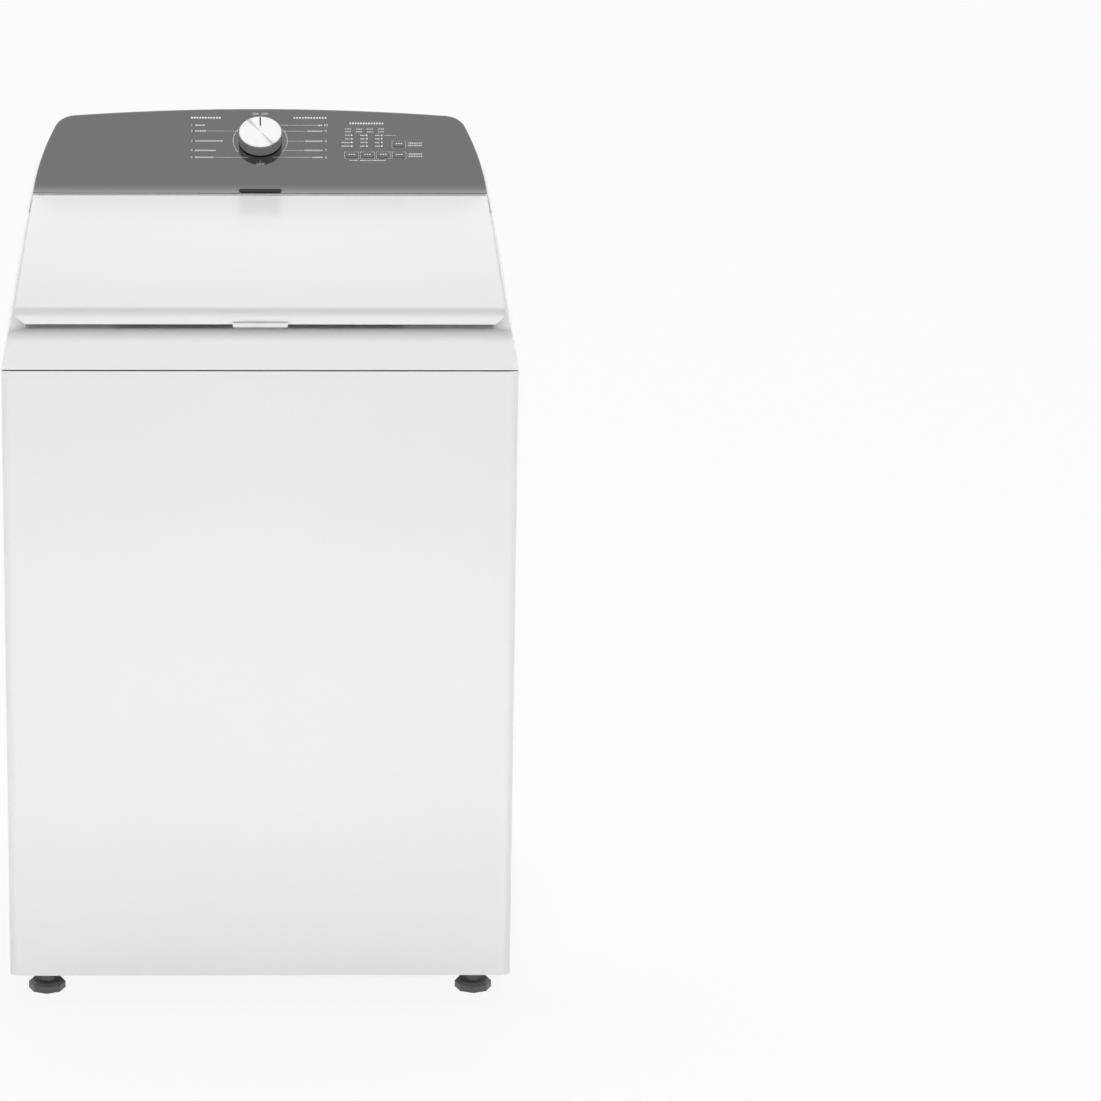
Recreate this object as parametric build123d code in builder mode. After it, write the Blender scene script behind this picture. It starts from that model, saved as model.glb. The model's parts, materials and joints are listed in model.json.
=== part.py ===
from build123d import *
import os
from math import cos, radians, sin, tan

# Top load washing machine in millimetres. The origin is on the floor under the middle of the machine,
# +X is to the right of someone who stands in front of it, +Y to the rear and +Z up.

# Clearances
fit_gap = 0.3
pin_gap = 0.05
turn_gap = 1.0

# Cabinet
cabinet_width = 690.0
cabinet_depth = 680.0
cabinet_height = 867.0
cabinet_corner = 12.0
sheet = 1.2
rim_flange = 24.0
rear_flange = 40.0
trough_width = 90.0
trough_depth = 6.0
trough_margin = 110.0
trough_draft = 20.0

# Base frame and levelling feet
foot_height = 37.0
rail_width = 56.0
rail_height = 26.0
rail_wall = 2.0
corner_plate = 54.0
foot_inset = 49.3
foot_boss_radius = 15.0
foot_flange_width = 47.0
foot_flange_height = 13.0
foot_bevel = 4.0
foot_stem_radius = 11.0
foot_stud_radius = 5.0
foot_stud_length = 52.0
nut_width = 17.0
nut_height = 8.0

# Top panel
moulding = 3.0
seam_gap = 2.0
seam_depth = 2.0
skirt_height = 40.0
skirt_roll = 15.0
side_lean = 11.5
deck_rise = 58.0
deck_edge_round = 1.5
opening_width = 440.0
opening_depth = 350.0
opening_corner = 150.0
opening_margin = 42.0
opening_lip = 40.0
spout_width = 96.0
spout_reach = 24.0
spout_height = 34.0
spout_drop = 12.0
spout_up = 6.0
spout_wall = 2.0

# Lid
rear_deck_depth = 200.0
lid_front_width = 651.0
lid_rear_width = 638.0
lid_thickness = 21.0
lid_slope = 4.5
lid_setback = 8.0
lid_clearance = 6.0
lid_wall = 2.5
lid_nose = 11.0
lid_undercut = 4.0
lid_edge_round = 4.0
lid_side_bevel = 12.0
lid_rear_gap = 4.0
lip_width = 74.0
lip_taper = 8.0
lip_drop = 3.0
lip_reach = 14.0
liner_margin = 24.0
liner_thickness = 2.0
dish_depth = 5.0
dish_margin = 26.0
bumper_radius = 7.0
bumper_inset = 26.0

# Lid hinge and lock
hinge_inset = 7.5
hinge_drop = 8.0
hinge_spread = 540.0
hinge_post_width = 20.0
hinge_post_radius = 3.7
hinge_post_rear = 1.0
hinge_pin_radius = 2.0
hinge_boss_width = 8.0
hinge_boss_radius = 5.0
strike_inset = 77.0
strike_setback = 60.0
strike_width = 12.0
strike_length = 16.0
strike_drop = 26.0
strike_room = 5.0
lock_wall = 4.0

# Console
console_wall = 3.0
console_step = 2.0
strip_height = 6.8
console_foot_height = 8.0
console_foot_round = 9.0
face_slope = 32.2
face_length = 165.0
console_rear_inset = 10.0
console_fall = 24.0
console_edge_round = 4.0
console_base_half = 321.0
console_crown_half = 284.0
console_crown_drop = 15.0
console_side_bulge = 7.7
console_corner = 32.0
cover_margin = 14.0
insert_width = 60.0
insert_height = 6.5
insert_depth = 6.0
insert_up = 4.2
insert_proud = 0.4

# Knob
knob_radius = 30.9
knob_up = 101.3
plinth_margin = 1.5
plinth_height = 1.5
knob_gap = 0.5
knob_height = 15.5
knob_draft = 2.0
knob_cap_thickness = 1.5
knob_cap_margin = 0.5
pointer_width = 2.4
pointer_length = 13.0
knob_shaft_radius = 3.0
knob_shaft_seat = 11.0
encoder_width = 26.0

# Buttons, lights and control board
button_width = 17.5
button_height = 11.5
button_round = 2.0
button_proud = 1.6
button_depth = 9.0
button_travel = 1.2
button_row_up = 73.6
button_upper_up = 95.1
button_first_x = 129.5
button_pitch = 22.4
light_radius = 1.4
light_first_x = 129.7
light_pitch_x = 21.35
light_first_up = 91.2
light_pitch_up = 7.1
light_columns = 3
light_rows = 4
board_x = 87.0
board_up = 86.0
board_width = 280.0
board_height = 60.0
board_thickness = 1.6
board_depth = 22.0
standoff_radius = 4.0
standoff_inset = 8.0
switch_width = 6.0

# Tub, basket and agitator
drum_forward = 20.0
tub_radius = 275.0
tub_wall = 3.0
tub_up = 220.0
tub_room = 44.0
tub_ring_height = 12.0
tub_ring_reach = 60.0
ear_width = 46.0
ear_height = 10.0
ear_up = 150.0
rib_width = 4.0
rib_height = 18.0
basket_radius = 250.0
basket_wall = 1.2
basket_room = 15.0
basket_floor_gap = 18.0
basket_corner = 30.0
ring_height = 42.0
ring_width = 36.0
hub_radius = 72.0
hub_height = 16.0
agitator_radius = 168.0
agitator_rim = 10.0
agitator_foot = 74.0
agitator_neck = 52.0
agitator_height = 400.0
agitator_flare = 90.0
agitator_wall = 3.0
vane_thickness = 7.0
vane_rise = 78.0
vane_count = 4
fin_width = 16.0
cap_height = 28.0

# Drive
shaft_radius = 8.0
spin_tube_radius = 16.0
bearing_radius = 31.0
bearing_height = 18.0
seal_height = 8.0
boss_radius = 46.0
boss_height = 30.0
plate_thickness = 4.0
plate_width = 352.0
plate_depth = 210.0
gearcase_radius = 92.0
gearcase_height = 84.0
motor_x = 164.0
motor_radius = 62.0
motor_height = 92.0
pulley_radius = 78.0
motor_pulley_radius = 20.0
pulley_height = 16.0
pulley_flange = 4.0
pulley_drop = 14.0
belt_thickness = 4.0
capacitor_radius = 20.0
capacitor_height = 70.0
pump_radius = 42.0
pump_height = 66.0
pump_spread = 150.0
pump_spigot_radius = 12.0
pump_spigot_length = 34.0

# Suspension
rod_spread = 245.0
rod_radius = 4.0
rod_head_radius = 9.0
rod_head_height = 6.0
rod_cup_radius = 21.0
rod_cup_height = 8.0
spring_length = 96.0
spring_radius = 17.0
spring_wire = 4.0
hanger_margin = 21.0
hanger_thickness = 3.0

# Rear fittings
fitting_reach = 20.0
valve_up = 770.0
valve_width = 110.0
valve_height = 46.0
valve_depth = 44.0
valve_margin = 8.0
inlet_spread = 56.0
inlet_radius = 13.25
inlet_bore = 9.5
fitting_inset = 83.0
drain_up = 730.0
drain_radius = 15.0
drain_shoulder = 2.0
drain_bore = 12.5
gland_up = 770.0
gland_radius = 13.0
gland_neck_radius = 9.5
gland_bore = 4.5
gland_reach = 12.0

# Places worked out from the sizes above
half_width = cabinet_width / 2
overall_depth = cabinet_depth + fitting_reach
front_y = -overall_depth / 2
rear_y = front_y + cabinet_depth
middle_y = (front_y + rear_y) / 2
seam_z = foot_height + cabinet_height
lean = tan(radians(side_lean))
rise = tan(radians(lid_slope))
ledge_z = seam_z + skirt_height + skirt_roll
deck_z = ledge_z + deck_rise
lid_depth = cabinet_depth - lid_setback - rear_deck_depth
lid_front_y = front_y + lid_setback
lid_rear_y = lid_front_y + lid_depth
lid_edge_z = ledge_z + lid_setback * rise + lid_clearance
lid_rear_z = lid_edge_z + lid_depth * rise
deck_y = lid_rear_y + lid_rear_gap
opening_y = lid_rear_y - opening_margin - opening_depth / 2
hinge_y = lid_rear_y - hinge_inset
hinge_z = lid_rear_z + lid_thickness - hinge_drop
ledge_plane = Plane((0, front_y, ledge_z), x_dir=(1, 0, 0), z_dir=(0, -rise, 1))
face_y = deck_y + console_step
face_z = deck_z + console_foot_height
face_sin = sin(radians(face_slope))
face_cos = cos(radians(face_slope))
face_plane = Plane((0, face_y, face_z), x_dir=(1, 0, 0), z_dir=(0, -face_sin, face_cos))
face_axis = Axis(face_plane.origin, face_plane.z_dir)
drum_y = middle_y - drum_forward
tub_bottom_z = foot_height + tub_up
tub_height = ledge_z - opening_lip - tub_room - tub_bottom_z
basket_height = tub_height - tub_wall - basket_floor_gap - ring_height - basket_room
drum_axis = Axis((0, drum_y, 0), (0, 0, 1))
drum_plane = Plane((0, drum_y, 0), x_dir=(1, 0, 0), z_dir=(0, -1, 0))
valve_z = foot_height + valve_up
drain_z = foot_height + drain_up
gland_z = foot_height + gland_up
strike_x = half_width - strike_inset
drain_x = half_width - fitting_inset
gland_x = fitting_inset - half_width


# Height of the ledge under the lid, at a distance from front to rear
def ledge_at(y):
    return ledge_z + (y - front_y) * rise


# Height of the lid's lower edge, at a distance from front to rear
def lid_bottom_at(y):
    return lid_edge_z + (y - lid_front_y) * rise


# Cabinet wrap: front and sides bent from one sheet, with flanges round the top, bottom and rear
with BuildPart() as cabinet_shell:
    with BuildSketch(Plane.XY.offset(foot_height)) as wrap:
        with Locations((0, middle_y - sheet / 2)):
            Rectangle(cabinet_width, cabinet_depth - sheet)
        fillet(wrap.vertices().group_by(Axis.Y)[0], cabinet_corner)
        offset(amount=-sheet, mode=Mode.SUBTRACT)
        with Locations((0, rear_y - sheet)):
            Rectangle(cabinet_width - 2 * rear_flange, 4 * sheet, mode=Mode.SUBTRACT)
    extrude(amount=cabinet_height)
    with BuildSketch(Plane.XY.offset(foot_height), Plane.XY.offset(seam_z - sheet)) as rim:
        with Locations((0, middle_y - sheet / 2)):
            Rectangle(cabinet_width, cabinet_depth - sheet)
        fillet(rim.vertices().group_by(Axis.Y)[0], cabinet_corner)
        with Locations((0, middle_y)):
            Rectangle(cabinet_width - 2 * rim_flange, cabinet_depth - 2 * rim_flange, mode=Mode.SUBTRACT)
        with Locations((0, rear_y)):
            Rectangle(cabinet_width - 2 * rim_flange, 4 * rim_flange, mode=Mode.SUBTRACT)
    extrude(amount=sheet)

# Rear panel with two stiffening troughs pressed into it, and holes for the water and mains fittings
with BuildPart() as rear_panel:
    with BuildSketch(Plane.XZ.offset(-rear_y)):
        with Locations((0, foot_height + cabinet_height / 2)):
            Rectangle(cabinet_width - 2 * cabinet_corner, cabinet_height - 2 * fit_gap)
    extrude(amount=sheet)
    with BuildSketch(Plane.XZ.offset(-rear_y)) as trough:
        with Locations((0, foot_height + cabinet_height / 2)):
            with GridLocations(cabinet_width / 2, 1, 2, 1):
                RectangleRounded(trough_width, cabinet_height - 2 * trough_margin, trough_width / 4)
    extrude(amount=trough_depth + sheet, taper=trough_draft)
    with BuildSketch(Plane.XZ.offset(-rear_y)) as hollow:
        offset(trough.sketch, amount=-sheet)
    extrude(amount=trough_depth, taper=trough_draft, mode=Mode.SUBTRACT)
    with BuildSketch(Plane.XZ.offset(-rear_y)):
        with Locations((0, valve_z)):
            Rectangle(valve_width - 2 * valve_margin, valve_height - 2 * valve_margin)
        with Locations((drain_x, drain_z)):
            Circle(drain_radius + drain_shoulder + fit_gap)
        with Locations((gland_x, gland_z)):
            Circle(gland_neck_radius + fit_gap)
    extrude(amount=sheet, mode=Mode.SUBTRACT)

# Base frame: a pressed ring of channel section with plates across its corners for the feet
foot_x = half_width - foot_inset
foot_y = cabinet_depth / 2 - foot_inset
frame_z = foot_height + sheet
frame_width = cabinet_width - 2 * sheet - 2 * fit_gap
frame_depth = cabinet_depth - 3 * sheet - 2 * fit_gap
with BuildPart() as base_frame:
    with BuildSketch(Plane.XY.offset(frame_z)) as ring:
        with Locations((0, middle_y - sheet / 2)):
            RectangleRounded(frame_width, frame_depth, cabinet_corner)
        with BuildSketch(mode=Mode.PRIVATE) as well:
            with Locations((0, middle_y - sheet / 2)):
                Rectangle(frame_width - 2 * rail_width, frame_depth - 2 * rail_width)
            chamfer(well.vertices(), corner_plate)
        add(well.sketch, mode=Mode.SUBTRACT)
    extrude(amount=rail_height)
    with BuildSketch(Plane.XY.offset(frame_z)):
        offset(ring.sketch, amount=-rail_wall)
    extrude(amount=rail_height - rail_wall, mode=Mode.SUBTRACT)
    with BuildSketch(Plane.XY.offset(frame_z)):
        with Locations((0, middle_y)):
            with GridLocations(2 * foot_x, 2 * foot_y, 2, 2):
                Circle(foot_boss_radius)
    extrude(amount=rail_height)
    with BuildSketch(Plane.XY.offset(frame_z)):
        with Locations((0, middle_y)):
            with GridLocations(2 * foot_x, 2 * foot_y, 2, 2):
                Circle(foot_stud_radius + pin_gap)
    extrude(amount=rail_height, mode=Mode.SUBTRACT)


# Levelling foot: a bevelled octagonal flange on a stem, with the stud that screws into the base frame
def levelling_foot(x, y):
    with BuildPart() as foot:
        with BuildSketch(Plane((x, y, 0))):
            RegularPolygon(foot_flange_width / 2, 8, major_radius=False)
        extrude(amount=foot_flange_height)
        chamfer(foot.faces().sort_by(Axis.Z)[-1].edges(), foot_bevel)
        with BuildSketch(Plane((x, y, foot_flange_height))):
            Circle(foot_stem_radius)
        extrude(amount=frame_z - fit_gap - foot_flange_height)
        with BuildSketch(Plane((x, y, foot_flange_height))):
            Circle(foot_stud_radius)
        extrude(amount=frame_z - foot_flange_height + foot_stud_length)
    return foot


foot_front_left = levelling_foot(-foot_x, middle_y - foot_y)
foot_front_right = levelling_foot(foot_x, middle_y - foot_y)
foot_rear_left = levelling_foot(-foot_x, middle_y + foot_y)
foot_rear_right = levelling_foot(foot_x, middle_y + foot_y)

# Lock nuts that sit on the base frame, one round each stud
with BuildPart() as foot_lock_nuts:
    with BuildSketch(Plane.XY.offset(frame_z + rail_height)):
        with Locations((0, middle_y)):
            with GridLocations(2 * foot_x, 2 * foot_y, 2, 2):
                RegularPolygon(nut_width / 2, 6, major_radius=False)
                Circle(foot_stud_radius + pin_gap, mode=Mode.SUBTRACT)
    extrude(amount=nut_height)


# Solid under the top panel's side profile, narrowed by its leaning sides and drawn in by an inset
def top_form(inset):
    side_wall = Plane((half_width - inset, 0, seam_z), x_dir=(0, 1, 0), z_dir=(1, 0, lean))
    with BuildPart() as form:
        with BuildSketch(Plane.YZ) as profile:
            with BuildLine():
                Polyline(
                    (rear_y, seam_z),
                    (front_y, seam_z),
                    (front_y, ledge_z),
                    (deck_y, ledge_at(deck_y)),
                    (deck_y, deck_z),
                    (rear_y, deck_z),
                    close=True,
                )
            make_face()
            fillet(profile.vertices().sort_by_distance((front_y, ledge_z))[0], skirt_roll)
            fillet(profile.vertices().sort_by_distance((deck_y, deck_z))[0], deck_edge_round)
            offset(amount=-inset)
        extrude(amount=cabinet_width)
        split(bisect_by=side_wall, keep=Keep.BOTTOM)
        mirror(about=Plane.YZ)
    return form.part


# Rounded outline of the drum's mouth, widened by a margin
def mouth_outline(margin):
    with BuildSketch(mode=Mode.PRIVATE) as mouth:
        with Locations((0, opening_y)):
            RectangleRounded(opening_width + 2 * margin, opening_depth + 2 * margin, opening_corner + margin)
    return mouth.sketch


# Shell of the top panel, with a flange that rests on the cabinet's rim
top_outside = top_form(0)
with BuildPart() as top_shell:
    add(top_outside)
    add(top_form(moulding), mode=Mode.SUBTRACT)
    with BuildSketch(Plane.XY.offset(seam_z)):
        with Locations((0, middle_y)):
            Rectangle(cabinet_width - 2 * rim_flange, cabinet_depth - 2 * rim_flange)
    extrude(amount=moulding, mode=Mode.SUBTRACT)
    with BuildSketch(Plane.XY.offset(seam_z)):
        with Locations((0, middle_y)):
            Rectangle(cabinet_width, cabinet_depth)
            Rectangle(cabinet_width - 2 * seam_depth, cabinet_depth - 2 * seam_depth, mode=Mode.SUBTRACT)
    extrude(amount=seam_gap, mode=Mode.SUBTRACT)

# Top panel: the moulded shell with a collar round the mouth, hinge posts, a rear strip and a strike slot
hinge_x = (-hinge_spread / 2, hinge_spread / 2)
strike_y = front_y + strike_setback
with BuildPart() as top_panel:
    with BuildSketch(Plane.XY.offset(ledge_z - opening_lip)):
        add(mouth_outline(moulding))
    extrude(amount=deck_z - ledge_z + opening_lip)
    add(top_outside, mode=Mode.INTERSECT)
    add(top_shell.part)
    with BuildSketch(Plane.XY.offset(ledge_z - opening_lip)):
        add(mouth_outline(0))
    extrude(amount=deck_z - ledge_z + opening_lip, mode=Mode.SUBTRACT)
    with BuildSketch(*[Plane.YZ.offset(x - hinge_post_width / 2) for x in hinge_x]):
        with Locations((hinge_y, hinge_z)):
            Circle(hinge_post_radius)
        with BuildLine():
            Polyline(
                (hinge_y - hinge_post_radius, hinge_z),
                (hinge_y + hinge_post_rear, hinge_z),
                (hinge_y + hinge_post_rear, ledge_at(hinge_y) - moulding / 2),
                (hinge_y - 3 * hinge_post_radius, ledge_at(hinge_y) - moulding),
                close=True,
            )
        make_face()
        with Locations((hinge_y, hinge_z)):
            Circle(hinge_pin_radius + pin_gap, mode=Mode.SUBTRACT)
    extrude(amount=hinge_post_width)
    with BuildSketch(Plane.XY.offset(deck_z - deck_edge_round)):
        with Locations((0, deck_y + (console_step - fit_gap) / 2)):
            Rectangle(2 * console_base_half, console_step - fit_gap)
    extrude(amount=deck_edge_round + strip_height)
    with BuildSketch(Plane.XY.offset(ledge_z - opening_lip)):
        with Locations((strike_x, strike_y)):
            Rectangle(strike_width + 2 * turn_gap, strike_length + 2 * strike_room)
    extrude(amount=deck_z - ledge_z + opening_lip, mode=Mode.SUBTRACT)

# Fill spout on the collar's rear: a hollow nozzle with a sloping front, open below
spout_y = opening_y + opening_depth / 2
spout_z = ledge_z - opening_lip + spout_up


def spout_form(inset, lowered):
    with BuildPart() as form:
        with BuildSketch(Plane.YZ.offset(inset - spout_width / 2)) as profile:
            with BuildLine():
                Polyline(
                    (spout_y - inset, spout_z - lowered),
                    (spout_y - inset, spout_z + spout_height - inset),
                    (spout_y - spout_reach + inset, spout_z + spout_height - inset),
                    (spout_y - spout_reach + inset, spout_z + spout_drop),
                    (spout_y - spout_reach / 2, spout_z - lowered),
                    close=True,
                )
            make_face()
        extrude(amount=spout_width - 2 * inset)
    return form.part


with BuildPart() as fill_spout:
    add(spout_form(0, 0))
    fillet(fill_spout.edges().filter_by(Axis.X).group_by(Axis.Y)[0], spout_wall)
    add(spout_form(spout_wall, spout_wall), mode=Mode.SUBTRACT)


# Outline of the lid from above, drawn in by an inset
def lid_outline(inset):
    with BuildSketch(mode=Mode.PRIVATE) as outline:
        with BuildLine():
            Polyline(
                (-lid_front_width / 2, lid_front_y),
                (lid_front_width / 2, lid_front_y),
                (lid_rear_width / 2, lid_rear_y),
                (-lid_rear_width / 2, lid_rear_y),
                close=True,
            )
        make_face()
        offset(amount=-inset)
    return outline.sketch


# Solid inside the lid's outline and side profile, with bevelled sides, drawn in by an inset and lowered
lid_side_run = Vector((lid_rear_width - lid_front_width) / 2, lid_depth, lid_depth * rise)
lid_bevels = []
for side in (-1, 1):
    bevel_corner = (side * (lid_front_width / 2 - lid_side_bevel), lid_front_y, lid_edge_z)
    run = Vector(side * lid_side_run.X, lid_side_run.Y, lid_side_run.Z)
    lid_bevels.append(Plane(bevel_corner, z_dir=side * run.cross(Vector(side, 0, 1))))
lid_front_lean = lid_undercut / lid_thickness


def lid_form(inset, lowered):
    with BuildPart() as form:
        with BuildSketch(Plane.YZ) as profile:
            with BuildLine():
                Polyline(
                    (lid_front_y + lid_front_lean * (lid_thickness + lowered), lid_edge_z - lowered),
                    (lid_rear_y, lid_rear_z - lowered),
                    (lid_rear_y, lid_rear_z + lid_thickness),
                    (lid_front_y, lid_edge_z + lid_thickness),
                    close=True,
                )
            make_face()
            fillet(profile.vertices().group_by(Axis.X)[0].sort_by(Axis.Y)[-1], lid_nose)
            fillet(profile.vertices().sort_by(Axis.Y)[-1], lid_edge_round)
            offset(amount=-inset)
        extrude(amount=lid_front_width, both=True)
        with BuildSketch(Plane.XY.offset(ledge_z)):
            add(lid_outline(inset))
        extrude(amount=lid_depth, mode=Mode.INTERSECT)
        for bevel in lid_bevels:
            split(bisect_by=bevel.offset(-inset), keep=Keep.BOTTOM)
    return form.part


# Lid: a hollow moulding with a rolled nose, cut front corners, a finger lip and bosses for its hinge pins
boss_offset = hinge_post_width / 2 + turn_gap + hinge_boss_width / 2
boss_planes = []
for x in hinge_x:
    for side in (-1, 1):
        boss_planes.append(Plane.YZ.offset(x + side * boss_offset - hinge_boss_width / 2))
with BuildPart() as lid:
    add(lid_form(0, 0))
    add(lid_form(lid_wall, 2 * lid_wall), mode=Mode.SUBTRACT)
    with BuildSketch(Plane.XZ.offset(-lid_front_y)):
        with Locations((0, lid_edge_z)):
            Trapezoid(lip_width, 2 * lip_drop, 90 - lip_taper, rotation=180)
    extrude(amount=-lip_reach, taper=lip_taper)
    with BuildSketch(*boss_planes):
        with Locations((hinge_y, hinge_z)):
            Circle(hinge_boss_radius)
            with Locations((0, hinge_drop / 2 - lid_wall / 4)):
                Rectangle(2 * hinge_boss_radius, hinge_drop - lid_wall / 2)
            Circle(hinge_pin_radius + pin_gap, mode=Mode.SUBTRACT)
    extrude(amount=hinge_boss_width)
    with BuildSketch(*[Plane.YZ.offset(x - hinge_post_width / 2 - turn_gap) for x in hinge_x]):
        with Locations((lid_rear_y, hinge_z + hinge_drop - lid_thickness)):
            Rectangle(4 * lid_wall, 2 * (lid_thickness - 2 * lid_wall))
    extrude(amount=hinge_post_width + 2 * turn_gap, mode=Mode.SUBTRACT)

# Lid liner: a plate inside the lid's rim with a shallow dish over the mouth
liner_side = lid_side_bevel + 2 * lid_wall
liner_front_y = lid_front_y + lid_undercut + lid_wall + fit_gap
liner_front_z = lid_bottom_at(liner_front_y)
with BuildPart() as lid_liner:
    with BuildSketch(Plane.XY.offset(ledge_z)) as plate:
        add(lid_outline(lid_wall + fit_gap))
        with Locations((0, lid_rear_y)):
            Rectangle(lid_front_width, 2 * liner_margin, mode=Mode.SUBTRACT)
        with Locations((0, lid_rear_y - lid_depth / 2)):
            Rectangle(lid_rear_width - 2 * liner_side, lid_depth, mode=Mode.INTERSECT)
    extrude(amount=lid_depth)
    with BuildSketch(Plane.YZ):
        with BuildLine():
            Polyline(
                (liner_front_y, liner_front_z),
                (lid_rear_y, lid_rear_z),
                (lid_rear_y, lid_rear_z + liner_thickness),
                (liner_front_y, liner_front_z + liner_thickness),
                close=True,
            )
        make_face()
    extrude(amount=lid_front_width, both=True, mode=Mode.INTERSECT)
    with BuildSketch(ledge_plane.offset(lid_clearance + liner_thickness / 2)) as dish:
        with Locations((0, opening_y - front_y)):
            RectangleRounded(
                opening_width - 2 * dish_margin, opening_depth - 2 * dish_margin, opening_corner - dish_margin
            )
    extrude(amount=-dish_depth - liner_thickness, taper=trough_draft)
    with BuildSketch(ledge_plane.offset(lid_clearance + 2 * liner_thickness)):
        offset(dish.sketch, amount=-liner_thickness)
    extrude(amount=-dish_depth - liner_thickness, taper=trough_draft, mode=Mode.SUBTRACT)

# Hinge pins, pressed through the lid's bosses and turning in the posts of the top panel
with BuildPart() as hinge_pins:
    pin_length = 2 * boss_offset + hinge_boss_width
    with BuildSketch(*[Plane.YZ.offset(x - pin_length / 2) for x in hinge_x]):
        with Locations((hinge_y, hinge_z)):
            Circle(hinge_pin_radius)
    extrude(amount=pin_length)

# Rubber bumpers on the ledge, under the corners of the lid
with BuildPart() as lid_bumpers:
    with BuildSketch(ledge_plane):
        with Locations((0, lid_setback + lid_depth / 2)):
            with GridLocations(
                lid_rear_width - 2 * bumper_inset, lid_depth - 4 * bumper_inset, 2, 2
            ):
                Circle(bumper_radius)
    extrude(amount=lid_clearance * cos(radians(lid_slope)) - fit_gap)

# Strike under the lid, a tongue on a foot that hangs from the liner into the lock
strike_top = lid_bottom_at(strike_y)
with BuildPart() as lid_strike:
    with BuildSketch(Plane.YZ.offset(strike_x - strike_width / 2)):
        with BuildLine():
            Polyline(
                (strike_y - strike_length / 2, lid_bottom_at(strike_y - strike_length / 2)),
                (strike_y + strike_length / 2, lid_bottom_at(strike_y + strike_length / 2)),
                (strike_y + strike_length / 4, strike_top - strike_drop),
                (strike_y - strike_length / 4, strike_top - strike_drop),
                close=True,
            )
        make_face()
    extrude(amount=strike_width)

# Lid lock: a housing under the ledge, open at the top where the strike enters
lock_length = strike_length + 2 * strike_room + 2 * lock_wall
lock_width = strike_width + 2 * turn_gap + 2 * lock_wall
lock_floor = strike_top - strike_drop - strike_room
with BuildPart() as lid_lock:
    with BuildSketch(Plane.YZ.offset(strike_x - lock_width / 2)):
        with BuildLine():
            Polyline(
                (strike_y - lock_length / 2, ledge_at(strike_y - lock_length / 2) - moulding - fit_gap),
                (strike_y + lock_length / 2, ledge_at(strike_y + lock_length / 2) - moulding - fit_gap),
                (strike_y + lock_length / 2, lock_floor - lock_wall),
                (strike_y - lock_length / 2, lock_floor - lock_wall),
                close=True,
            )
        make_face()
    extrude(amount=lock_width)
    with BuildSketch(Plane.XY.offset(lock_floor)):
        with Locations((strike_x, strike_y)):
            Rectangle(lock_width - 2 * lock_wall, lock_length - 2 * lock_wall)
    extrude(amount=deck_rise, mode=Mode.SUBTRACT)


# Outline of the console on its sloping face, drawn in by an inset
def console_outline(inset):
    base_half = console_base_half - inset
    crown_half = console_crown_half - inset
    base_up = -2 * console_foot_height
    top_up = face_length - inset
    shoulder_up = top_up - console_crown_drop
    middle = ((base_half + crown_half) / 2 + console_side_bulge, (base_up + shoulder_up) / 2)
    with BuildSketch(mode=Mode.PRIVATE) as outline:
        with BuildLine():
            Line((0, base_up), (base_half, base_up))
            ThreePointArc((base_half, base_up), middle, (crown_half, shoulder_up))
            ThreePointArc((crown_half, shoulder_up), (0, top_up), (-crown_half, shoulder_up))
            ThreePointArc((-crown_half, shoulder_up), (-middle[0], middle[1]), (-base_half, base_up))
            Line((-base_half, base_up), (0, base_up))
        make_face()
        fillet(outline.vertices().group_by(Axis.Y)[-1], console_corner - inset / 2)
    return outline.sketch


# Solid behind the face's outline that falls away to the rear, drawn in by an inset and cut off at its rear
console_rear_y = rear_y - console_rear_inset
fall_direction = (0, cos(radians(console_fall)), -sin(radians(console_fall)))


def console_form(inset, form_rear_y):
    with BuildPart() as form:
        with BuildSketch(face_plane.offset(-inset)):
            add(console_outline(inset))
        extrude(amount=cabinet_depth, dir=fall_direction)
        with BuildSketch(Plane.XY.offset(deck_z + inset)):
            with Locations((0, (face_y + inset + form_rear_y) / 2)):
                Rectangle(cabinet_width, form_rear_y - face_y - inset)
        extrude(amount=cabinet_width, mode=Mode.INTERSECT)
    return form.part


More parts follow.
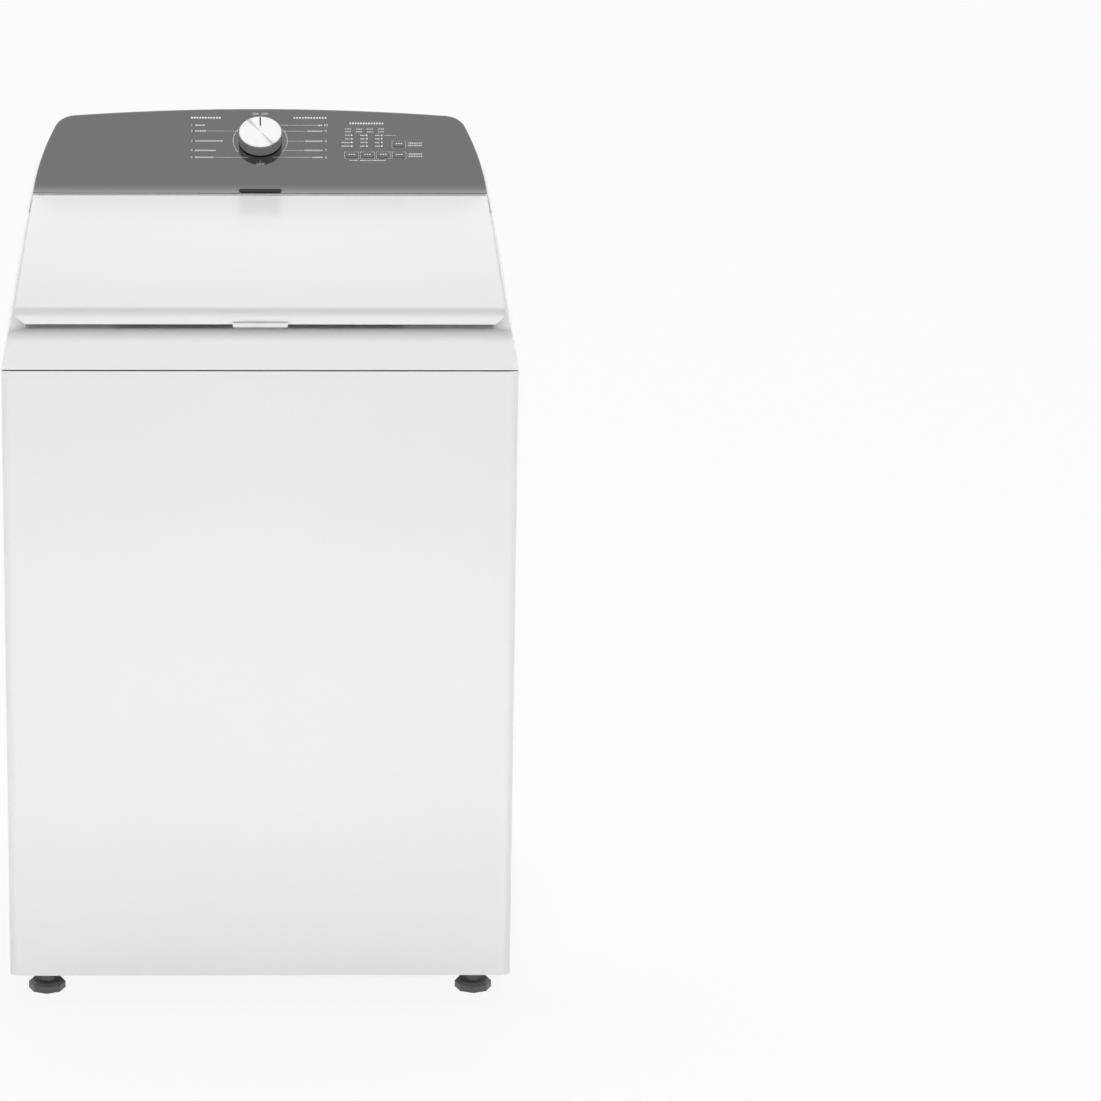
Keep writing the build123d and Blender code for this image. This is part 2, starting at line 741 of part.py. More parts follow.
# Console fascia: a hollow moulding, open at the rear, with holes for the knob, buttons and lights
button_places = [(button_first_x + i * button_pitch, button_row_up) for i in range(4)]
button_places.append((button_first_x + 3 * button_pitch, button_upper_up))
light_places = []
for column in range(light_columns):
    for row in range(light_rows):
        light_places.append((light_first_x + column * light_pitch_x, light_first_up + row * light_pitch_up))
with BuildPart() as rear_opening:
    add(console_form(cover_margin, console_rear_y))
    split(bisect_by=Plane.XZ.offset(2 * console_wall - console_rear_y), keep=Keep.BOTTOM)
with BuildPart() as console_fascia:
    add(console_form(0, console_rear_y))
    fillet(console_fascia.edges().filter_by(Axis.X).sort_by_distance(face_plane.origin)[0], console_foot_round)
    rim = console_fascia.faces().filter_by(face_plane).sort_by(face_axis)[-1]
    rim_edges = rim.edges().filter_by(lambda edge: edge.center().Z > face_z + console_foot_round)
    fillet(rim_edges.sort_by(Axis.X), console_edge_round)
    add(console_form(console_wall, console_rear_y - console_wall), mode=Mode.SUBTRACT)
    add(rear_opening.part, mode=Mode.SUBTRACT)
    with BuildSketch(face_plane):
        with Locations((0, knob_up)):
            Circle(knob_shaft_radius + turn_gap)
        with Locations(*button_places):
            RectangleRounded(button_width + 2 * fit_gap, button_height + 2 * fit_gap, button_round + fit_gap)
        with Locations(*light_places):
            Circle(light_radius + pin_gap)
    extrude(amount=-2 * console_wall, mode=Mode.SUBTRACT)
    with BuildSketch(face_plane.offset(-board_depth)):
        with Locations((board_x, board_up)):
            with GridLocations(board_width - 2 * standoff_inset, board_height - 2 * standoff_inset, 2, 2):
                Circle(standoff_radius)
    extrude(amount=board_depth - console_wall / 2)
    with BuildSketch(face_plane):
        with Locations((0, insert_up)):
            SlotOverall(insert_width + 2 * fit_gap, insert_height + 2 * fit_gap)
    extrude(amount=-insert_depth, mode=Mode.SUBTRACT)

# Rear cover that closes the console
with BuildPart() as console_rear_cover:
    add(console_form(cover_margin + fit_gap, console_rear_y))
    split(bisect_by=Plane.XZ.offset(console_wall - console_rear_y), keep=Keep.BOTTOM)

# Dark glossy insert in a slot at the foot of the console
with BuildPart() as console_insert:
    with BuildSketch(face_plane.offset(insert_proud)):
        with Locations((0, insert_up)):
            SlotOverall(insert_width, insert_height)
    extrude(amount=-insert_depth)
    fillet(console_insert.faces().sort_by(face_axis)[-1].edges(), insert_proud / 2)

# Knob plinth: a thin disc fixed to the face under the knob
with BuildPart() as knob_plinth:
    with BuildSketch(face_plane):
        with Locations((0, knob_up)):
            Circle(knob_radius - plinth_margin)
            Circle(knob_shaft_radius + turn_gap, mode=Mode.SUBTRACT)
    extrude(amount=plinth_height)
    fillet(knob_plinth.faces().sort_by(face_axis)[-1].outer_wire().edges(), plinth_height / 3)

# Knob grip with a blind bore for the shaft
knob_base_plane = face_plane.offset(plinth_height + knob_gap)
with BuildPart() as knob_grip:
    with BuildSketch(knob_base_plane):
        with Locations((0, knob_up)):
            Circle(knob_radius)
    extrude(amount=knob_height, taper=knob_draft)
    with BuildSketch(knob_base_plane):
        with Locations((0, knob_up)):
            Circle(knob_shaft_radius + pin_gap)
    extrude(amount=knob_shaft_seat, mode=Mode.SUBTRACT)

# Spun metal face of the knob, with a slot for the pointer mark
with BuildPart() as knob_cap:
    cap_radius = knob_radius - knob_height * tan(radians(knob_draft)) - knob_cap_margin
    with BuildSketch(knob_base_plane.offset(knob_height)):
        with Locations((0, knob_up)):
            Circle(cap_radius)
        with Locations((0, knob_up + cap_radius - pointer_length / 2)):
            Rectangle(pointer_width, pointer_length, mode=Mode.SUBTRACT)
    extrude(amount=knob_cap_thickness)

# Encoder under the fascia, standing on the control board
encoder_plane = face_plane.offset(-board_depth)
with BuildPart() as encoder:
    with BuildSketch(encoder_plane):
        with Locations((0, knob_up)):
            Rectangle(encoder_width, encoder_width)
    extrude(amount=board_depth - console_wall - fit_gap)
    with BuildSketch(encoder_plane.offset(board_depth / 4)):
        with Locations((0, knob_up)):
            Circle(knob_shaft_radius + pin_gap)
    extrude(amount=board_depth, mode=Mode.SUBTRACT)

# Shaft that joins the knob to the encoder
with BuildPart() as knob_shaft:
    with BuildSketch(encoder_plane.offset(board_depth / 4 + fit_gap)):
        with Locations((0, knob_up)):
            Circle(knob_shaft_radius)
    extrude(amount=3 * board_depth / 4 + plinth_height + knob_gap + knob_shaft_seat - 2 * fit_gap)


# Push button with rounded corners, guided by its hole in the face
def push_button(place):
    with BuildPart() as button:
        with BuildSketch(face_plane.offset(-button_depth)):
            with Locations(place):
                RectangleRounded(button_width, button_height, button_round)
        extrude(amount=button_depth + button_proud)
        fillet(button.faces().sort_by(face_axis)[-1].edges(), button_proud / 2)
    return button


buttons = [push_button(place) for place in button_places]

# Status lights, one small lens in each hole of the face
with BuildPart() as status_lights:
    with BuildSketch(face_plane.offset(-button_depth)):
        with Locations(*light_places):
            Circle(light_radius)
    extrude(amount=button_depth + fit_gap)

# Control board on the fascia's standoffs, with a switch under each button
with BuildPart() as control_board:
    with BuildSketch(face_plane.offset(-board_depth)):
        with Locations((board_x, board_up)):
            Rectangle(board_width, board_height)
    extrude(amount=-board_thickness)
    with BuildSketch(face_plane.offset(-board_depth)):
        with Locations(*button_places):
            Rectangle(switch_width, switch_width)
    extrude(amount=board_depth - button_depth - button_travel - fit_gap)

# Tub: an open cup with a bearing boss and ribs under its floor, and four ears that ride on the rods
tub_top_z = tub_bottom_z + tub_height
boss_z = tub_bottom_z - boss_height
ear_z = tub_bottom_z + ear_up
rod_places = [(x, drum_y + y) for x in (-rod_spread, rod_spread) for y in (-rod_spread, rod_spread)]
with BuildPart() as tub:
    with BuildSketch(drum_plane):
        with BuildLine():
            Polyline(
                (bearing_radius + pin_gap, boss_z),
                (boss_radius, boss_z),
                (boss_radius, tub_bottom_z),
                (tub_radius, tub_bottom_z),
                (tub_radius, tub_top_z),
                (tub_radius - tub_wall, tub_top_z),
                (tub_radius - tub_wall, tub_bottom_z + tub_wall),
                (bearing_radius + pin_gap, tub_bottom_z + tub_wall),
                close=True,
            )
        make_face()
    revolve(axis=drum_axis)
    with BuildSketch(Plane((0, drum_y, tub_bottom_z - rib_height))):
        with PolarLocations((boss_radius + tub_radius) / 2 - rib_width, 8, start_angle=22.5):
            Rectangle(tub_radius - boss_radius, rib_width)
    extrude(amount=rib_height)
    with BuildSketch(Plane((0, drum_y, ear_z))) as ears:
        with PolarLocations(tub_radius - tub_wall, 4, start_angle=45):
            SlotCenterToCenter(2 * (rod_spread * 2 ** 0.5 - tub_radius + tub_wall), ear_width)
        Circle(tub_radius - tub_wall / 2, mode=Mode.SUBTRACT)
        with Locations(*[(x, y - drum_y) for x, y in rod_places]):
            Circle(rod_radius + turn_gap, mode=Mode.SUBTRACT)
    extrude(amount=ear_height)

# Ring that caps the tub and keeps the wash inside
with BuildPart() as tub_ring:
    with BuildSketch(Plane((0, drum_y, tub_top_z))):
        Circle(tub_radius + tub_wall)
        Circle(tub_radius - tub_ring_reach, mode=Mode.SUBTRACT)
    extrude(amount=tub_wall)
    with BuildSketch(Plane((0, drum_y, tub_top_z))):
        Circle(tub_radius - tub_ring_reach + tub_wall)
        Circle(tub_radius - tub_ring_reach, mode=Mode.SUBTRACT)
    extrude(amount=tub_ring_height)

# Bearing and water seal in the tub's boss
seal_z = boss_z + bearing_height
with BuildPart() as tub_bearing:
    with BuildSketch(Plane((0, drum_y, boss_z))):
        Circle(bearing_radius)
        Circle(spin_tube_radius + pin_gap, mode=Mode.SUBTRACT)
    extrude(amount=bearing_height)
with BuildPart() as tub_seal:
    with BuildSketch(Plane((0, drum_y, seal_z))):
        Circle(bearing_radius)
        Circle(spin_tube_radius + fit_gap, mode=Mode.SUBTRACT)
    extrude(amount=seal_height)

# Basket: a steel cup with a rounded lower edge and a hole for its hub
basket_z = tub_bottom_z + tub_wall + basket_floor_gap
basket_top_z = basket_z + basket_height
with BuildPart() as basket:
    with BuildSketch(drum_plane) as cup:
        with BuildLine():
            Polyline(
                (spin_tube_radius + pin_gap, basket_z),
                (basket_radius, basket_z),
                (basket_radius, basket_top_z),
                (basket_radius - basket_wall, basket_top_z),
                (basket_radius - basket_wall, basket_z + basket_wall),
                (spin_tube_radius + pin_gap, basket_z + basket_wall),
                close=True,
            )
        make_face()
        fillet(cup.vertices().sort_by_distance((basket_radius, basket_z))[0], basket_corner)
        inner_corner = (basket_radius - basket_wall, basket_z + basket_wall)
        fillet(cup.vertices().sort_by_distance(inner_corner)[0], basket_corner - basket_wall)
    revolve(axis=drum_axis)

# Balance ring on the basket's top edge
with BuildPart() as balance_ring:
    with BuildSketch(drum_plane) as section:
        with Locations((basket_radius - ring_width / 2, basket_top_z + ring_height / 2)):
            Rectangle(ring_width, ring_height)
        fillet(section.vertices().group_by(Axis.X)[0], ring_width / 6)
    revolve(axis=drum_axis)

# Hub that clamps the basket to the spin tube
hub_z = basket_z - hub_height
with BuildPart() as basket_hub:
    with BuildSketch(Plane((0, drum_y, hub_z))):
        Circle(spin_tube_radius + hub_height)
    extrude(amount=hub_height / 2)
    with BuildSketch(Plane((0, drum_y, hub_z + hub_height / 2))):
        Circle(hub_radius)
    extrude(amount=hub_height / 2)
    with BuildSketch(Plane((0, drum_y, hub_z))):
        Circle(spin_tube_radius + pin_gap)
    extrude(amount=hub_height, mode=Mode.SUBTRACT)

# Spin tube that turns the basket, running in the tub bearing down into the gearcase
plate_z = boss_z - plate_thickness
gearcase_z = plate_z - gearcase_height
tube_bottom_z = gearcase_z + gearcase_height / 2
tube_top_z = basket_z + basket_wall + hub_height / 2
with BuildPart() as spin_tube:
    with BuildSketch(Plane((0, drum_y, tube_bottom_z))):
        Circle(spin_tube_radius)
        Circle(shaft_radius + pin_gap, mode=Mode.SUBTRACT)
    extrude(amount=tube_top_z - tube_bottom_z)

# Agitator: a flared hollow post on a dished base, with broad vanes below and narrow fins above
agitator_z = tube_top_z + turn_gap
agitator_top_z = agitator_z + agitator_height
flare_z = agitator_z + agitator_rim + agitator_flare


# Outline of the agitator's revolved body, drawn in by an inset
def agitator_profile(inset):
    with BuildSketch(mode=Mode.PRIVATE) as profile:
        with BuildLine():
            foot = agitator_radius - inset
            rim_z = agitator_z + agitator_rim - inset
            Polyline(
                (0, agitator_top_z - inset),
                (0, agitator_z - inset),
                (foot, agitator_z - inset),
                (foot, rim_z),
            )
            TangentArc((foot, rim_z), (agitator_foot - inset, flare_z), tangent=(-1, 0.12))
            Line((agitator_foot - inset, flare_z), (agitator_neck - inset, agitator_top_z - inset))
            Line((agitator_neck - inset, agitator_top_z - inset), (0, agitator_top_z - inset))
        make_face()
    return profile.sketch


# Plane across the agitator where its post stands on its base
post_plane = Plane((0, drum_y, flare_z))


# Agitator's hollow revolved body, open below: a post with a sleeve for the shaft, and a flared base
with BuildPart() as agitator_body:
    with BuildSketch(drum_plane):
        add(agitator_profile(0))
    revolve(axis=drum_axis)
    with BuildSketch(drum_plane):
        add(agitator_profile(agitator_wall))
    revolve(axis=drum_axis, mode=Mode.SUBTRACT)
with BuildPart() as agitator:
    add(agitator_body.part)
    split(bisect_by=post_plane, keep=Keep.TOP)
    with BuildSketch(Plane((0, drum_y, agitator_z))):
        Circle(shaft_radius + hub_height / 2)
    extrude(amount=agitator_height - agitator_wall / 2)
    with BuildSketch(Plane((0, drum_y, agitator_z))):
        Circle(shaft_radius + pin_gap)
    extrude(amount=agitator_flare, mode=Mode.SUBTRACT)
with BuildPart() as agitator_base:
    add(agitator_body.part)
    split(bisect_by=post_plane, keep=Keep.BOTTOM)

# Vanes that stand on the agitator's base and run up its post as narrow fins
with BuildPart() as agitator_vanes:
    with BuildSketch(drum_plane) as vane:
        with BuildLine():
            Polyline(
                (agitator_neck / 2, agitator_z),
                (agitator_radius - agitator_wall, agitator_z),
                (agitator_radius - agitator_wall, agitator_z + agitator_rim + vane_rise / 3),
                (agitator_foot + fin_width, flare_z + vane_rise),
                (agitator_neck + fin_width / 2, agitator_top_z - 2 * fin_width),
                (agitator_neck / 2, agitator_top_z - fin_width),
                close=True,
            )
        make_face()
    extrude(amount=vane_thickness / 2, both=True)
    vane_solid = extrude(vane.sketch, amount=vane_thickness / 2, both=True, mode=Mode.PRIVATE)
    for turn in range(1, vane_count):
        add(vane_solid.rotate(drum_axis, turn * 360 / vane_count))
    with BuildSketch(drum_plane):
        add(agitator_profile(0))
    revolve(axis=drum_axis, mode=Mode.SUBTRACT)

# Domed cap on the agitator's post
with BuildPart() as agitator_cap:
    with BuildSketch(Plane((0, drum_y, agitator_top_z))):
        Circle(agitator_neck)
    extrude(amount=cap_height)
    fillet(agitator_cap.edges().group_by(Axis.Z)[-1], cap_height * 0.7)

# Shaft that turns the agitator inside the spin tube
shaft_bottom_z = gearcase_z + gearcase_height / 4
with BuildPart() as drive_shaft:
    with BuildSketch(Plane((0, drum_y, shaft_bottom_z))):
        Circle(shaft_radius)
    extrude(amount=agitator_z + agitator_flare - fit_gap - shaft_bottom_z)

# Plate under the tub's boss that carries the gearcase and the motor
with BuildPart() as drive_plate:
    with BuildSketch(Plane((0, drum_y, plate_z))):
        with Locations((motor_x / 2, 0)):
            RectangleRounded(plate_width, plate_depth, plate_depth / 6)
        Circle(spin_tube_radius + turn_gap, mode=Mode.SUBTRACT)
    extrude(amount=plate_thickness)

# Gearcase with stepped bores for the spin tube above and the input shaft below
with BuildPart() as gearcase:
    with BuildSketch(Plane((0, drum_y, gearcase_z))):
        Circle(gearcase_radius)
    extrude(amount=gearcase_height)
    chamfer(gearcase.edges().group_by(Axis.Z)[0], gearcase_height / 5)
    with BuildSketch(Plane((0, drum_y, tube_bottom_z - fit_gap))):
        Circle(spin_tube_radius + pin_gap)
    extrude(amount=gearcase_height, mode=Mode.SUBTRACT)
    with BuildSketch(Plane((0, drum_y, gearcase_z))):
        Circle(shaft_radius + pin_gap)
    extrude(amount=gearcase_height, mode=Mode.SUBTRACT)


# Pulley with two flanges on a short shaft
def flanged_pulley(x, radius, shaft_top):
    with BuildPart() as pulley:
        with BuildSketch(Plane((x, drum_y, pulley_z))):
            Circle(radius + pulley_flange)
        extrude(amount=pulley_height)
        with BuildSketch(Plane((x, drum_y, pulley_z + pulley_height / 4))):
            Circle(radius + pulley_flange)
            Circle(radius, mode=Mode.SUBTRACT)
        extrude(amount=pulley_height / 2, mode=Mode.SUBTRACT)
        with BuildSketch(Plane((x, drum_y, pulley_z))):
            Circle(shaft_radius)
        extrude(amount=shaft_top - pulley_z)
    return pulley


pulley_z = gearcase_z - pulley_drop - pulley_height
motor_z = plate_z - motor_height
drive_pulley = flanged_pulley(0, pulley_radius, shaft_bottom_z - fit_gap)
motor_pulley = flanged_pulley(motor_x, motor_pulley_radius, motor_z + motor_height / 2)

# Belt round the two pulleys
with BuildPart() as drive_belt:
    with BuildSketch(Plane((0, drum_y, pulley_z + pulley_height / 4 + fit_gap))) as loop:
        Circle(pulley_radius + fit_gap)
        with Locations((motor_x, 0)):
            Circle(motor_pulley_radius + fit_gap)
        make_hull()
        offset(amount=belt_thickness)
        with BuildSketch(mode=Mode.PRIVATE) as inner_loop:
            Circle(pulley_radius + fit_gap)
            with Locations((motor_x, 0)):
                Circle(motor_pulley_radius + fit_gap)
            make_hull()
        add(inner_loop.sketch, mode=Mode.SUBTRACT)
    extrude(amount=pulley_height / 2 - 2 * fit_gap)

# Motor hung from the drive plate, with cooling slots round its housing
with BuildPart() as motor:
    with BuildSketch(Plane((motor_x, drum_y, motor_z))):
        Circle(motor_radius)
    extrude(amount=motor_height)
    fillet(motor.edges().group_by(Axis.Z)[0], motor_radius / 6)
    with BuildSketch(Plane((motor_x, drum_y, motor_z + motor_height / 4))):
        with PolarLocations(motor_radius, 12):
            Rectangle(motor_radius / 4, motor_radius / 8)
    extrude(amount=motor_height / 2, mode=Mode.SUBTRACT)
    with BuildSketch(Plane((motor_x, drum_y, motor_z))):
        Circle(shaft_radius + pin_gap)
    extrude(amount=motor_height / 2 + fit_gap, mode=Mode.SUBTRACT)

# Start capacitor under the drive plate
with BuildPart() as capacitor:
    with BuildSketch(Plane((motor_x / 2, drum_y, plate_z - capacitor_height))):
        with Locations((0, plate_depth / 2 - capacitor_radius)):
            Circle(capacitor_radius)
    extrude(amount=capacitor_height)
    fillet(capacitor.edges().group_by(Axis.Z)[0], capacitor_radius / 4)

# Drain pump under the tub's floor, with its spigot to the rear
with BuildPart() as drain_pump:
    with BuildSketch(Plane((-pump_spread, drum_y, tub_bottom_z - pump_height))):
        Circle(pump_radius)
    extrude(amount=pump_height)
    fillet(drain_pump.edges().group_by(Axis.Z)[0], pump_radius / 6)
    with BuildSketch(Plane.XZ.offset(-drum_y)):
        with Locations((-pump_spread - pump_radius / 2, tub_bottom_z - pump_height / 2)):
            Circle(pump_spigot_radius)
    extrude(amount=-pump_radius - pump_spigot_length)

# Corner plates under the cabinet's rim that carry the suspension rods
hanger_z = seam_z - sheet - hanger_thickness
hanger_half = half_width - sheet - fit_gap
with BuildPart() as suspension_hangers:
    with BuildSketch(Plane.XY.offset(hanger_z)):
        for side in (-1, 1):
            for end_y, inward in ((front_y + sheet + fit_gap, 1), (rear_y - 2 * sheet - fit_gap, -1)):
                rod_y = drum_y - inward * rod_spread
                hanger_leg = hanger_half - rod_spread + abs(rod_y - end_y) + hanger_margin
                with BuildLine():
                    Polyline(
                        (side * (hanger_half - cabinet_corner), end_y),
                        (side * hanger_half, end_y + inward * cabinet_corner),
                        (side * hanger_half, end_y + inward * hanger_leg),
                        (side * (hanger_half - hanger_leg), end_y),
                        close=True,
                    )
                make_face()
        with Locations(*rod_places):
            Circle(rod_radius + pin_gap, mode=Mode.SUBTRACT)
    extrude(amount=hanger_thickness)

# Suspension rods, each with a head that hangs on its plate and a cup that carries its spring
cup_top_z = ear_z - spring_length
with BuildPart() as suspension_rods:
    with BuildSketch(Plane.XY.offset(cup_top_z)):
        with Locations(*rod_places):
            Circle(rod_radius)
    extrude(amount=seam_z - sheet - cup_top_z)
    with BuildSketch(Plane.XY.offset(seam_z - sheet)):
        with Locations(*rod_places):
            Circle(rod_head_radius)
    extrude(amount=rod_head_height)
    with BuildSketch(Plane.XY.offset(cup_top_z - rod_cup_height)):
        with Locations(*rod_places):
            Circle(rod_cup_radius)
    extrude(amount=rod_cup_height)

# Suspension springs between the rods' cups and the tub's ears
with BuildPart() as suspension_springs:
    with BuildSketch(Plane.XY.offset(cup_top_z)):
        with Locations(*rod_places):
            Circle(spring_radius)
            Circle(spring_radius - spring_wire, mode=Mode.SUBTRACT)
    extrude(amount=spring_length)

# Water inlet valve: a body inside the rear panel, a pad through its hole, and a hot and a cold spigot
pad_margin = valve_margin + fit_gap
with BuildPart() as inlet_valve:
    with BuildSketch(Plane.XZ.offset(-rear_y + sheet)):
        with Locations((0, valve_z)):
            RectangleRounded(valve_width, valve_height, valve_margin)
    extrude(amount=valve_depth)
    with BuildSketch(Plane.XZ.offset(-rear_y)):
        with Locations((0, valve_z)):
            Rectangle(valve_width - 2 * pad_margin, valve_height - 2 * pad_margin)
    extrude(amount=sheet)
    with BuildSketch(Plane.XZ.offset(-rear_y)):
        with Locations((0, valve_z)):
            with GridLocations(inlet_spread, 1, 2, 1):
                Circle(inlet_radius)
    extrude(amount=-fitting_reach)
    with BuildSketch(Plane.XZ.offset(-rear_y - fitting_reach)):
        with Locations((0, valve_z)):
            with GridLocations(inlet_spread, 1, 2, 1):
                Circle(inlet_bore)
    extrude(amount=fitting_reach + sheet + valve_depth / 2, mode=Mode.SUBTRACT)

# Drain outlet: a tube with a flange inside the rear panel and a shoulder that fills its hole
with BuildPart() as drain_outlet:
    with BuildSketch(Plane.XZ.offset(-rear_y + sheet)):
        with Locations((drain_x, drain_z)):
            Circle(drain_radius + valve_margin)
    extrude(amount=valve_margin)
    with BuildSketch(Plane.XZ.offset(-rear_y)):
        with Locations((drain_x, drain_z)):
            Circle(drain_radius + drain_shoulder)
    extrude(amount=sheet + valve_depth)
    with BuildSketch(Plane.XZ.offset(-rear_y)):
        with Locations((drain_x, drain_z)):
            Circle(drain_radius)
    extrude(amount=-fitting_reach)
    with BuildSketch(Plane.XZ.offset(-rear_y - fitting_reach)):
        with Locations((drain_x, drain_z)):
            Circle(drain_bore)
    extrude(amount=fitting_reach + sheet + valve_depth, mode=Mode.SUBTRACT)

# Gland where the mains lead would enter
with BuildPart() as cord_gland:
    with BuildSketch(Plane.XZ.offset(-rear_y - gland_reach)):
        with Locations((gland_x, gland_z)):
            Circle(gland_radius)
    extrude(amount=gland_reach, taper=-trough_draft / 4)
    with BuildSketch(Plane.XZ.offset(-rear_y)):
        with Locations((gland_x, gland_z)):
            Circle(gland_neck_radius)
    extrude(amount=sheet + valve_margin)
    with BuildSketch(Plane.XZ.offset(-rear_y - gland_reach)):
        with Locations((gland_x, gland_z)):
            Circle(gland_bore)
    extrude(amount=gland_reach + sheet + valve_margin, mode=Mode.SUBTRACT)

pieces = {
    "cabinet_shell": cabinet_shell,
    "rear_panel": rear_panel,
    "base_frame": base_frame,
    "foot_front_left": foot_front_left,
    "foot_front_right": foot_front_right,
    "foot_rear_left": foot_rear_left,
    "foot_rear_right": foot_rear_right,
    "foot_lock_nuts": foot_lock_nuts,
    "top_panel": top_panel,
    "fill_spout": fill_spout,
    "lid": lid,
    "lid_liner": lid_liner,
    "hinge_pins": hinge_pins,
    "lid_bumpers": lid_bumpers,
    "lid_strike": lid_strike,
    "lid_lock": lid_lock,
    "console_fascia": console_fascia,
    "console_rear_cover": console_rear_cover,
    "console_insert": console_insert,
    "knob_plinth": knob_plinth,
    "knob_grip": knob_grip,
    "knob_cap": knob_cap,
    "knob_shaft": knob_shaft,
    "encoder": encoder,
    "status_lights": status_lights,
    "control_board": control_board,
    "tub": tub,
    "tub_ring": tub_ring,
    "tub_bearing": tub_bearing,
    "tub_seal": tub_seal,
    "basket": basket,
    "balance_ring": balance_ring,
    "basket_hub": basket_hub,
    "spin_tube": spin_tube,
    "agitator": agitator,
    "agitator_base": agitator_base,
    "agitator_vanes": agitator_vanes,
    "agitator_cap": agitator_cap,
    "drive_shaft": drive_shaft,
    "drive_plate": drive_plate,
    "gearcase": gearcase,
    "drive_pulley": drive_pulley,
    "motor_pulley": motor_pulley,
    "drive_belt": drive_belt,
    "motor": motor,
    "capacitor": capacitor,
    "drain_pump": drain_pump,
    "suspension_hangers": suspension_hangers,
    "suspension_rods": suspension_rods,
    "suspension_springs": suspension_springs,
    "inlet_valve": inlet_valve,
    "drain_outlet": drain_outlet,
    "cord_gland": cord_gland,
}
for number, button in enumerate(buttons, 1):
    pieces[f"button_{number}"] = button

os.makedirs("parts", exist_ok=True)
for name, piece in pieces.items():
    piece.part.label = name
    export_step(piece.part, f"parts/{name}.step")
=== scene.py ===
import json
from math import cos, pi, radians, sin, tau

import bmesh
import bpy
from mathutils import Matrix, Vector


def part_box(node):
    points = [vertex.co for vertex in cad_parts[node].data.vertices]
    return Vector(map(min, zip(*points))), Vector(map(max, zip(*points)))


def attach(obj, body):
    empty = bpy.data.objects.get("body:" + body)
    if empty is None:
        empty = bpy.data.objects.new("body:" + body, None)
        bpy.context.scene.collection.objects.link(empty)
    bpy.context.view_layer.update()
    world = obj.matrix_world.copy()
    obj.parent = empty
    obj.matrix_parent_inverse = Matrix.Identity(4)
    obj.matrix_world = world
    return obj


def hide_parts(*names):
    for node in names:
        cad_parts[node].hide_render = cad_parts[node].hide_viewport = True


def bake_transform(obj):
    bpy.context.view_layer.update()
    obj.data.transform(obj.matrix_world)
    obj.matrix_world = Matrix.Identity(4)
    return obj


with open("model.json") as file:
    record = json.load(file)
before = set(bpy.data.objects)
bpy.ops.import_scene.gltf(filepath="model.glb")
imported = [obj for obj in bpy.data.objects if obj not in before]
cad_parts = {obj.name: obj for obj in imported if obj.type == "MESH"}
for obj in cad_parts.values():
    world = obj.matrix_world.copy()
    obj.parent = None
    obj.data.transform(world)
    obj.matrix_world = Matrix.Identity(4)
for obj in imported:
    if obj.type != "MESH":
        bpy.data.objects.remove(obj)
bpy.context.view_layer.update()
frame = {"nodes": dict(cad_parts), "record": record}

# Sizes and places in metres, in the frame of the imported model
nodes = frame["nodes"]
face_slope = radians(32.2)
face_foot = 0.008
fascia_low, fascia_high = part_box("console_fascia")
face_origin = Vector((0, fascia_low.y, fascia_low.z + face_foot))
face_right = Vector((1, 0, 0))
face_up = Vector((0, cos(face_slope), sin(face_slope)))
face_normal = Vector((0, -sin(face_slope), cos(face_slope)))
print_lift = 0.00012
basket_low, basket_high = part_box("basket")
drum_centre = (basket_low + basket_high) / 2

# Knob, buttons and lights, as places along the console's face
knob_up = 0.1013
cap_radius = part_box("knob_cap")[1].x
cap_lift = 0.0175
cap_thickness = 0.0015
pointer_width = 0.0028
pointer_length = 0.018
button_up = 0.0736
button_upper_up = 0.0951
button_first_x = 0.1295
button_pitch = 0.0224
button_proud = 0.0016
button_box = (0.0194, 0.0132)
light_first_x = 0.1297
light_pitch_x = 0.02135
light_first_up = 0.0912
light_pitch_up = 0.0071

# Photograph: frame width in pixels, and the camera that took it
frame_pixels = 1101
focal_pixels = 5540
machine_pixel_x = 260.3
sensor_width = 36.0
camera_place = Vector((0, -7.44, 2.957))
camera_pitch = radians(18)
camera_shift = 0.15


# Materials


def new_material(name):
    material = bpy.data.materials.new(name)
    material.use_nodes = True
    tree = material.node_tree
    return material, tree, tree.nodes["Principled BSDF"]


def add_node(tree, kind, **values):
    node = tree.nodes.new(kind)
    for name, value in values.items():
        node.inputs[name.replace("_", " ")].default_value = value
    return node


def place_in(tree, shift=(0, 0, 0), stretch=(1, 1, 1)):
    place = tree.nodes.new("ShaderNodeTexCoord")
    mapping = add_node(tree, "ShaderNodeMapping", Location=shift, Scale=stretch)
    tree.links.new(place.outputs["Object"], mapping.inputs["Vector"])
    return mapping.outputs["Vector"]


def noise(tree, scale, detail=2.0, stretch=(1, 1, 1)):
    texture = add_node(tree, "ShaderNodeTexNoise", Scale=scale, Detail=detail)
    tree.links.new(place_in(tree, stretch=stretch), texture.inputs["Vector"])
    return texture.outputs["Fac"]


def between(tree, factor, low, high, start=0.3, end=0.7):
    span = add_node(tree, "ShaderNodeMapRange", From_Min=start, From_Max=end, To_Min=low, To_Max=high)
    tree.links.new(factor, span.inputs["Value"])
    return span.outputs["Result"]


def calculate(tree, operation, first, second=0.0):
    node = tree.nodes.new("ShaderNodeMath")
    node.operation = operation
    for socket, value in zip(node.inputs, (first, second)):
        if isinstance(value, (int, float)):
            socket.default_value = value
        else:
            tree.links.new(value, socket)
    return node.outputs["Value"]


def ramp(tree, factor, stops):
    node = tree.nodes.new("ShaderNodeValToRGB")
    elements = node.color_ramp.elements
    while len(elements) < len(stops):
        elements.new(0.5)
    for element, (position, colour) in zip(elements, stops):
        element.position = position
        element.color = [min(c, 1) for c in colour] + [1]
    tree.links.new(factor, node.inputs["Fac"])
    return node.outputs["Color"]


def shade(colour, amount):
    return [c * amount for c in colour]


